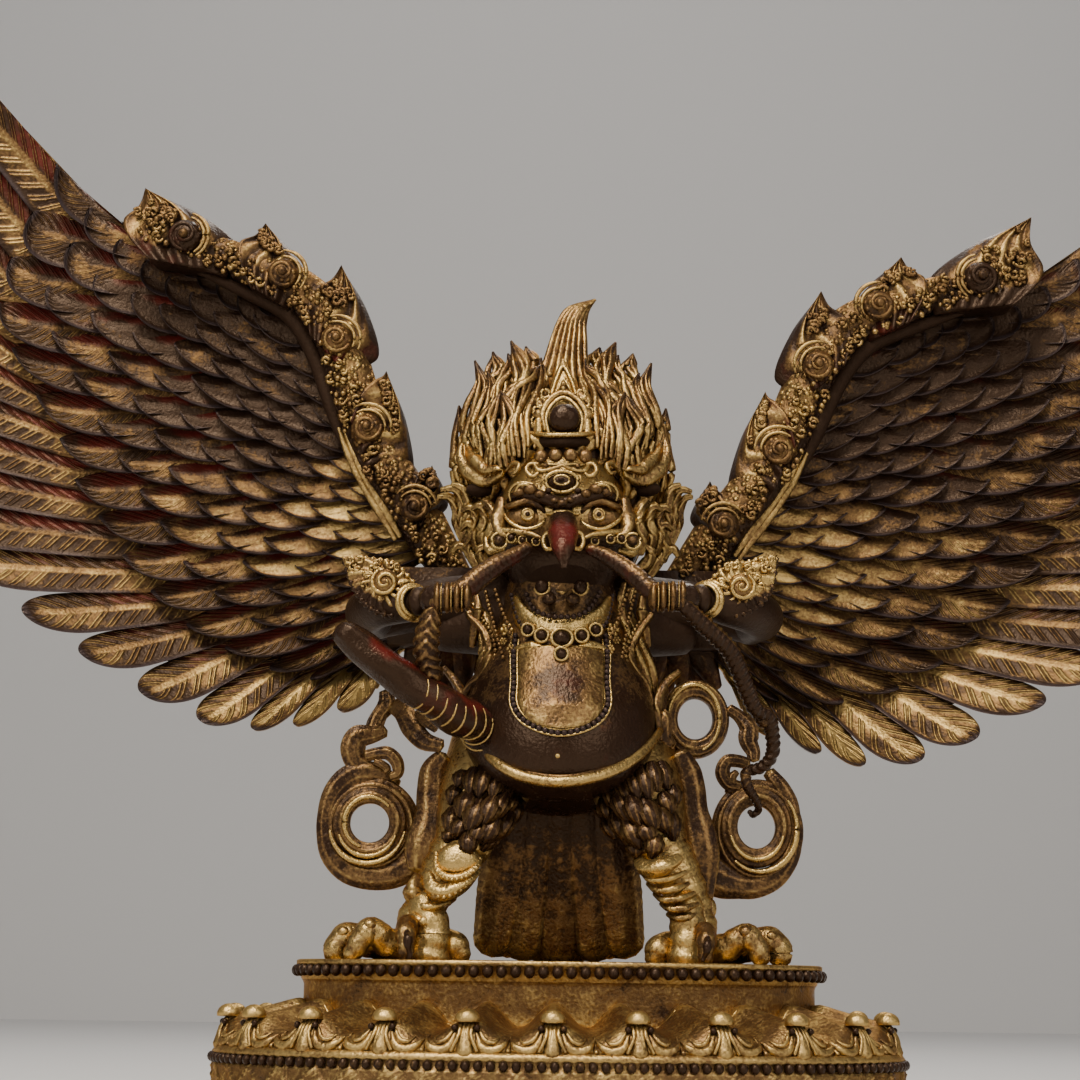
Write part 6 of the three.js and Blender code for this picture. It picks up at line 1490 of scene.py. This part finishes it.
for side in (-1, 1):
    x = -34.6 if side < 0 else 32.8
    legs.add(bar([(side * 16, -2, 98), (side * 20, -8, 88), (side * 23.5, -12.6, 77)], [12.6, 10.8, 7.4], 40, 32))
    legs.add(bar([(side * 23.4, -12.8, 77), (side * 29.6, -13.6, 66), (x, -14.4, 57), (x, -15.6, 49.6)],
                 [7.2, 5.8, 4.7, 4.9], 60, 28, relief=lambda length, turn: 0.28 * np.sin(length * 1.5) ** 3),
             (0.05, 0, 0.2))
left_feathers = (
    ((-24, -17, 92.9), (-25.3, -19, 89.1), 1.7), ((-21.2, -19, 93.3), (-22.2, -22, 87), 1.9),
    ((-18.4, -20, 93.2), (-20.1, -23, 86.5), 1.9), ((-15.9, -20, 91.9), (-16.9, -23, 86.1), 1.8),
    ((-13.5, -19, 90.1), (-15.2, -22, 84.4), 1.8), ((-25.8, -18, 89.1), (-26.8, -19, 84.9), 1.6),
    ((-22.4, -22, 87), (-24.3, -23.5, 81.4), 2.2), ((-19.6, -23, 85.1), (-22.1, -25, 78.2), 2.5),
    ((-16.4, -23, 86.1), (-19, -25, 79.6), 2.2), ((-13.7, -22, 87.1), (-17.2, -24, 80.6), 2.0),
    ((-11.9, -18, 87.5), (-14.6, -20, 82.7), 1.8), ((-26.1, -19, 83.5), (-27.1, -20, 78), 1.9),
    ((-23.6, -23, 80.5), (-25.4, -22, 76.5), 1.9), ((-19, -24, 79.6), (-21.4, -24, 75.1), 2.0),
    ((-15.8, -24, 80.6), (-18.9, -24, 75.1), 2.2), ((-12.7, -20, 82.7), (-16.2, -22, 76.2), 2.1),
    ((-11.2, -16, 85.8), (-12.3, -17, 80.2), 1.9), ((-26.6, -20, 78.4), (-27.6, -20, 75.7), 1.5),
    ((-22.1, -24.5, 77.3), (-22.2, -25, 72.5), 1.8), ((-16.3, -22, 78), (-18.9, -23, 73.8), 1.9),
    ((-11, -14, 86.9), (-10.7, -15, 83.1), 1.7))
right_feathers = (
    ((23.8, -19, 95.3), (25.2, -20, 89.2), 1.8), ((21.3, -20, 95.1), (22.8, -22, 88.5), 1.8),
    ((19.2, -20, 94.2), (20.7, -23, 86.6), 2.0), ((16.7, -20, 92.8), (18.2, -23, 86.6), 1.9),
    ((14.2, -19, 91), (16.4, -22, 85.7), 1.8), ((26.6, -19, 89.8), (27.1, -19, 85.2), 1.7),
    ((24.2, -21, 87.7), (26.1, -21, 83.2), 1.9), ((19.5, -23, 85.7), (22.2, -24.5, 79.3), 2.4),
    ((16.3, -23, 86.5), (18.6, -24.5, 80.1), 2.2), ((13.2, -21, 88), (15.9, -23.5, 81), 2.1),
    ((11.5, -18, 89.7), (13.3, -20, 84), 1.9), ((23.2, -23, 83.5), (25.1, -22.5, 78.5), 2.0),
    ((26.1, -20, 83.3), (26.8, -20, 76.9), 1.7), ((19.1, -24, 80.1), (21.4, -24, 76.1), 2.1),
    ((15.5, -23, 81.1), (18.6, -24, 74.7), 2.1), ((12.9, -19, 83.2), (15.1, -21, 77.1), 2.0),
    ((10.4, -16, 87), (11.6, -17, 81.5), 1.8), ((10.7, -15, 82.1), (13, -17, 77.4), 1.8),
    ((22.3, -24, 77.5), (21.3, -24.5, 72.5), 1.9), ((17.4, -22, 76.2), (17.8, -22, 72.6), 1.8),
    ((9.8, -14, 85.3), (9.5, -15, 82.5), 1.6))
for root, tip, size in (*left_feathers, *right_feathers):
    feathered(root, tip, size, legs, (0.2, 0.1, -0.06))

# Left knee: oval pad with a beaded rim and a second beaded cuff; the right one is ringed and worn
pad = np.array((-24.6, -22.5, 71.1))
legs.add(lump(pad, (5.4, 3.4, 4.7), 18, 28), (0, 0, 0.6))
rim_path = [(-29.8, -22, 73), (-29.5, -24, 69.3), (-26.8, -26, 67.2), (-23.2, -26.4, 67.5), (-20.5, -25, 69.4),
            (-19.4, -22, 72.1)]
legs.add(bar(rim_path, [0.7, 1.0, 1.0, 0.7], 50, 10), (0, 0.1, 0.4))
legs.add(string_of(np.array(smooth_line(rim_path, np.linspace(0, 1, 30))) + (0, -0.9, -0.4), 0.52, 1.05), (0, 0, 0.4))
second = [(-31.6, -22, 67.8), (-30.5, -24, 64.8), (-27.7, -25.4, 63.7), (-24.6, -25.4, 64.9), (-21.9, -24, 67),
          (-20.3, -22, 68.9)]
legs.add(bar(second, [1.3, 1.9, 2.0, 1.7, 1.2], 50, 14, relief=grooves(0.2, 4)), (0, 0, 0.35))
legs.add(string_of(np.array(smooth_line(second, np.linspace(0, 1, 30))) + (0, -1.4, -1.2), 0.6, 1.25), (0, 0.2, 0.2))
legs.add(bar([(-34.5, -17, 67.1), (-35.1, -18, 64.4), (-34.3, -18, 60.7)], [1.6, 2.6, 1.4], 24, 14,
             relief=grooves(0.3, 4)), (0, 0.2, 0))
for spot, size in (((-29.5, -25, 63), 1.3), ((-37, -17, 63.9), 1.0), ((-36.2, -17, 61.4), 0.9)):
    legs.add(lump(spot, size, 8, 10), (0.2, 0.2, 0))
knee = [(18.2, -20, 72.5), (20, -24, 70), (24, -26, 70.4), (27.7, -24, 72.4)]
legs.add(bar(knee, [1.2, 2.0, 2.0, 1.2], 40, 14, relief=grooves(0.2, 4)), (0, 0, 0.4))
for path in (
        [(19.1, -20, 69.5), (21.4, -24, 67.3), (25.4, -25, 67.6), (29.4, -23, 69.3)],
        [(20.7, -20, 66.6), (22.8, -24, 64.9), (26.3, -25, 65.1), (30.1, -22, 66.7)],
        [(22.3, -20, 64.2), (24.4, -24, 62.7), (27.7, -24, 63), (31.6, -21, 64.5)],
        [(23.9, -20, 61.9), (26, -23.6, 60.6), (29.1, -23.6, 60.8), (32.3, -21, 62)],
        [(25.5, -19.6, 59.5), (27.4, -22.8, 58.5), (30.1, -22.8, 58.8), (32.5, -20.5, 59.9)]):
    legs.add(bar(path, [0.6, 0.9, 1.0, 0.6], 36, 10), (0.15, 0, 0.1))
for path in (
        [(-35.6, -19, 59.6), (-33.6, -22, 57.3), (-30.4, -22, 56.4), (-27.5, -20, 55.4)],
        [(-34.3, -19, 62.1), (-32.3, -22, 60.4), (-29.6, -22, 60.7), (-26.7, -20, 61.5)]):
    legs.add(bar(path, [0.6, 1.0, 1.0, 0.6], 30, 10), (0.05, 0, 0.5))
legs.add(lump((-32.5, -22.6, 56.9), (1.3, 0.9, 1.2), 9, 12), (0, 0, 0.5))
legs.add(lump((29.8, -20, 54.8), (3.4, 3, 3.4), 12, 16), (0, 0, 0.4))

toes = (
    ([(-32.5, -18, 60.8), (-30.5, -19, 55.4), (-30.9, -19, 48.7)], [4.2, 4.3, 4.9], (0, 0, 0.2)),
    ([(-35, -19, 55.8), (-36.4, -24, 55.6), (-36.3, -27, 52), (-36.1, -27, 48.5)], [2.7, 2.5, 2.3, 1.7], (0, 0.2, 0)),
    ([(-36.4, -26.4, 55.3), (-35.6, -29.6, 52), (-35.1, -29.4, 48.2)], [0.9, 1.1, 0.5], (0.1, 0.4, -0.3)),
    ([(-34.3, -14, 52.3), (-39.5, -18, 51.5), (-42.2, -20, 52.9), (-44.6, -21.4, 55.1), (-47, -22, 52.8),
      (-49.1, -22, 49.3)], [4.0, 3.7, 3.6, 3.0, 2.9, 2.4], (0, 0, 0.1)),
    ([(-34.5, -9, 51.5), (-41.8, -12, 51.3), (-46.7, -14, 52.3), (-50.7, -16, 53.4), (-53.3, -17, 51.1),
      (-53.6, -17, 49.3)], [4.0, 3.7, 3.7, 3.6, 3.4, 2.8], (0.3, 0, 0.15)),
    ([(-30.2, -13, 50.5), (-27.6, -16, 52.3), (-25, -17.5, 51.4), (-23.9, -18, 49.6)], [3.2, 3.4, 3.4, 2.9],
     (0, 0, 0.15)), ([(-31.8, -8, 51.5), (-31.1, -3, 50.2)], [3.6, 3.2], (0, 0, 0)),
    ([(29.7, -18, 61.6), (30.3, -19, 55.8), (30, -19, 49)], [4.2, 4.4, 5.1], (0, 0, 0.15)),
    ([(33.1, -19, 55.4), (34.2, -24, 54.8), (34, -27, 51.6), (33.8, -27, 48.9)], [2.7, 2.5, 2.3, 1.7], (0, 0.2, 0)),
    ([(34.3, -26.4, 54.7), (34, -29.6, 51.6), (33.2, -29.4, 48.7)], [0.9, 1.1, 0.5], (0.1, 0.4, -0.3)),
    ([(33, -14, 51.9), (38.2, -18, 51.4), (40.7, -20, 52.7), (43.7, -21.4, 54.8), (46, -22, 52.6), (47.4, -22, 49.7)],
     [4.0, 3.7, 3.6, 3.0, 2.9, 2.4], (0, 0, 0.1)),
    ([(33.3, -9, 51), (40.5, -12, 51.1), (45.4, -14, 52.5), (49.3, -16, 53.8), (52.2, -17, 52.1), (52.4, -17, 49.9)],
     [4.0, 3.7, 3.7, 3.6, 3.4, 2.8], (0.3, 0, 0.1)),
    ([(28.5, -13, 50.5), (25.5, -16, 52.2), (23.4, -17.5, 51.2), (22.7, -18, 49.4)], [3.2, 3.4, 3.4, 2.9],
     (0, 0.05, 0.15)), ([(30.2, -8, 51.9), (30, -3, 50.6)], [3.6, 3.2], (0, 0, 0)))
for path, radii, gild in toes:
    legs.add(bar(path, radii, 40, 22, cap=0.9, relief=lambda length, turn: 0.16 * np.sin(length * 1.7 + np.cos(turn))),
             gild)
for spot, size in (((-45.1, -23, 55.9), 1.8), ((-51.7, -18.5, 54.3), 1.6), ((43.7, -23, 55.5), 1.8),
                   ((50.2, -18.5, 54.6), 1.6)):
    legs.add(lump(spot, (size, size, size * 0.9), 12, 16), (0.1, 0.15, 0.1))
legs.make(figure_metal)

tail = Casting("tail", "figure_bronze")


def tail_relief(length, turn):
    """Grooves along a feather, cosines of the turn, and low waves across it that bend where the section is wide."""
    return 0.22 * np.cos(8 * turn) + 0.1 * np.sin(length * 2.2 + 3 * np.abs(np.cos(turn)))


# Five feathers side by side and four behind their gaps
for places, behind in (((-2, -1.1, 0, 1.1, 2), 0), ((-1.55, -0.55, 0.55, 1.55), 2.2)):
    for place in places:
        out = abs(place)
        foot = 49.0 + 0.95 * out + (0.4 if behind else 0)
        spine = [(place * 3.9, 6 + behind, 102), (place * 5.6, 13 + behind, 86),
                 (place * 7.2, 18 + behind - 0.4 * out, 68), (place * 8.2, 20.4 + behind - 0.7 * out, foot + 3)]
        tail.add(bar(spine, [5.2, 5.8, 6.1, 6.2, 5.2], 40, 28, flat=0.34, across=(1, 0, 0), relief=tail_relief,
                     cap=0.9), np.linspace((0, 0, -0.8), (0.1, 0, 0.08), 46)[:, None])
tail.make(figure_metal)

# WEAR
# Hands, dust and age wear a gilt bronze by its form: gold stays in the shallow hollows and the ridges are rubbed
# brighter. The deepest hollows turn black, partly with old lacquer and partly as painted shade from an occlusion
# measure. Both measures are taken from the meshes.


def wear_and_shade(pieces):
    """Gives every vertex two shares: hollow, the amount of other surface that stands a little ahead of it in a
    blurred grid of cells, and ridge, how far it stands out from the mean of its neighbours along its normal."""
    cell, ahead = 0.8 * MM, 1.7 * MM
    low = np.array(solid_box[0]) - 8 * cell
    count = ((np.array(solid_box[1]) - low) / cell + 16).astype(int)
    full = np.zeros(count.prod(), np.float32)
    stored = []
    for piece in pieces:
        mesh = piece.data
        points = np.empty(len(mesh.vertices) * 3)
        mesh.vertices.foreach_get("co", points)
        points = points.reshape(-1, 3)
        normals = np.empty(points.size)
        mesh.vertex_normals.foreach_get("vector", normals)
        normals = normals.reshape(-1, 3)
        mesh.calc_loop_triangles()
        corners = np.empty(len(mesh.loop_triangles) * 3, int)
        mesh.loop_triangles.foreach_get("vertices", corners)
        a, b, c = (points[corners.reshape(-1, 3)[:, k]] for k in range(3))
        area = np.linalg.norm(np.cross(b - a, c - a), axis=1) / 2 / cell**2
        for part in ((a + b + c) / 3, (a * 4 + b + c) / 6, (a + b * 4 + c) / 6, (a + b + c * 4) / 6):
            place = np.clip(((part - low) / cell).astype(int), 0, count - 1)
            full += np.bincount(np.ravel_multi_index(place.T, count), area / 4, full.size).astype(np.float32)
        edges = np.empty(len(mesh.edges) * 2, int)
        mesh.edges.foreach_get("vertices", edges)
        stored.append((mesh, points, normals, edges.reshape(-1, 2)))
    full = full.reshape(count)
    for axis in (0, 1, 2) * 2:
        full = (full + np.roll(full, 1, axis) + np.roll(full, -1, axis)) / 3
    for mesh, points, normals, edges in stored:
        place = np.clip(((points + normals * ahead - low) / cell - 0.5), 0, count - 2)
        base = place.astype(int)
        part = place - base
        hollow = np.zeros(len(points))
        for corner in np.ndindex(2, 2, 2):
            share = np.prod(np.where(corner, part, 1 - part), axis=1)
            hollow += share * full[tuple((base + corner).T)]
        total = np.zeros(points.shape)
        number = np.bincount(edges.ravel(), minlength=len(points))
        for k in range(3):
            total[:, k] = (np.bincount(edges[:, 0], points[edges[:, 1], k], len(points))
                           + np.bincount(edges[:, 1], points[edges[:, 0], k], len(points)))
        ridge = np.sum((points - total / np.maximum(number, 1)[:, None]) * normals, axis=1) / MM
        # hollow darkens deep hollows in the materials, partly as painted shade; ridge polishes the gold on ridges
        colour = np.stack([hollow, 0.5 + ridge * 3, hollow, np.ones(len(points))], axis=1)
        mesh.attributes.new("wear_and_shade", "FLOAT_COLOR", "POINT").data.foreach_set("color", np.clip(colour, 0, 4).ravel())


wear_and_shade(castings)

# STAGE
# A plain pale floor and backdrop of paper under a soft sky, with a soft lamp overhead, one at each side of the
# front, one behind the figure and one on the backdrop. The camera looks up from just below the figure's middle.

paper = bpy.data.materials.new("floor_paper")
paper.use_nodes = True
paper.node_tree.nodes["Principled BSDF"].inputs["Base Color"].default_value = (0.62, 0.61, 0.6, 1)
paper.node_tree.nodes["Principled BSDF"].inputs["Roughness"].default_value = 0.8
for name, corners in (("floor", [(-4, -4, 0), (4, -4, 0), (4, 4, 0), (-4, 4, 0)]),
                      ("backdrop", [(-4, 2, -0.01), (4, 2, -0.01), (4, 2, 4), (-4, 2, 4)])):
    sheet = bpy.data.objects.new(name, bpy.data.meshes.new(name))
    sheet.data.from_pydata(corners, [], [(0, 1, 2, 3)])
    sheet.data.materials.append(paper)
    bpy.context.scene.collection.objects.link(sheet)


def lamp(name, place, goal, size, power, colour):
    """Square area lamp at a place, turned so that its own -Z runs towards the goal."""
    light = bpy.data.lights.new(name, "AREA")
    light.size, light.energy, light.color = size, power, colour
    holder = bpy.data.objects.new(name, light)
    bpy.context.scene.collection.objects.link(holder)
    holder.location = place
    holder.rotation_euler = (Vector(goal) - Vector(place)).to_track_quat("-Z", "Y").to_euler()


lamp("overhead", (-0.18, -0.58, 1.08), (0, 0, 0.15), 0.5, 15.5, (1, 0.92, 0.8))
lamp("left_front", (-0.65, -1.15, 0.8), (0, 0, 0.15), 0.8, 9, (1, 0.95, 0.88))
lamp("right_front", (0.75, -1.15, 0.7), (0, 0, 0.15), 0.8, 6, (1, 0.94, 0.86))
lamp("behind", (0.25, 0.75, 1.15), (0, 0, 0.2), 0.5, 6, (1, 0.96, 0.9))
lamp("backdrop", (0, 0.9, 1.9), (0, 1.9, 0.6), 1.2, 6.2, (1, 0.98, 0.97))
world = bpy.data.worlds.new("sky")
world.use_nodes = True
world.node_tree.nodes["Background"].inputs["Color"].default_value = (0.28, 0.28, 0.285, 1)
bpy.context.scene.world = world

camera = bpy.data.objects.new("camera", bpy.data.cameras.new("camera"))
camera.data.lens, camera.data.sensor_width, camera.data.clip_start = 75, 36, 0.02
camera_place, tilt, roll = (-0.0062, -0.562, 0.0418), np.radians(11.27), np.radians(0.8)
forward = np.array([0, np.cos(tilt), np.sin(tilt)])
right = np.array([1.0, 0, 0])
up = np.cross(right, forward)
right, up = right * np.cos(roll) + up * np.sin(roll), up * np.cos(roll) - right * np.sin(roll)
turn = Matrix(np.stack([right, up, -forward], axis=1).tolist())
camera.matrix_world = Matrix.Translation(camera_place) @ turn.to_4x4()
bpy.context.scene.collection.objects.link(camera)
bpy.context.scene.camera = camera
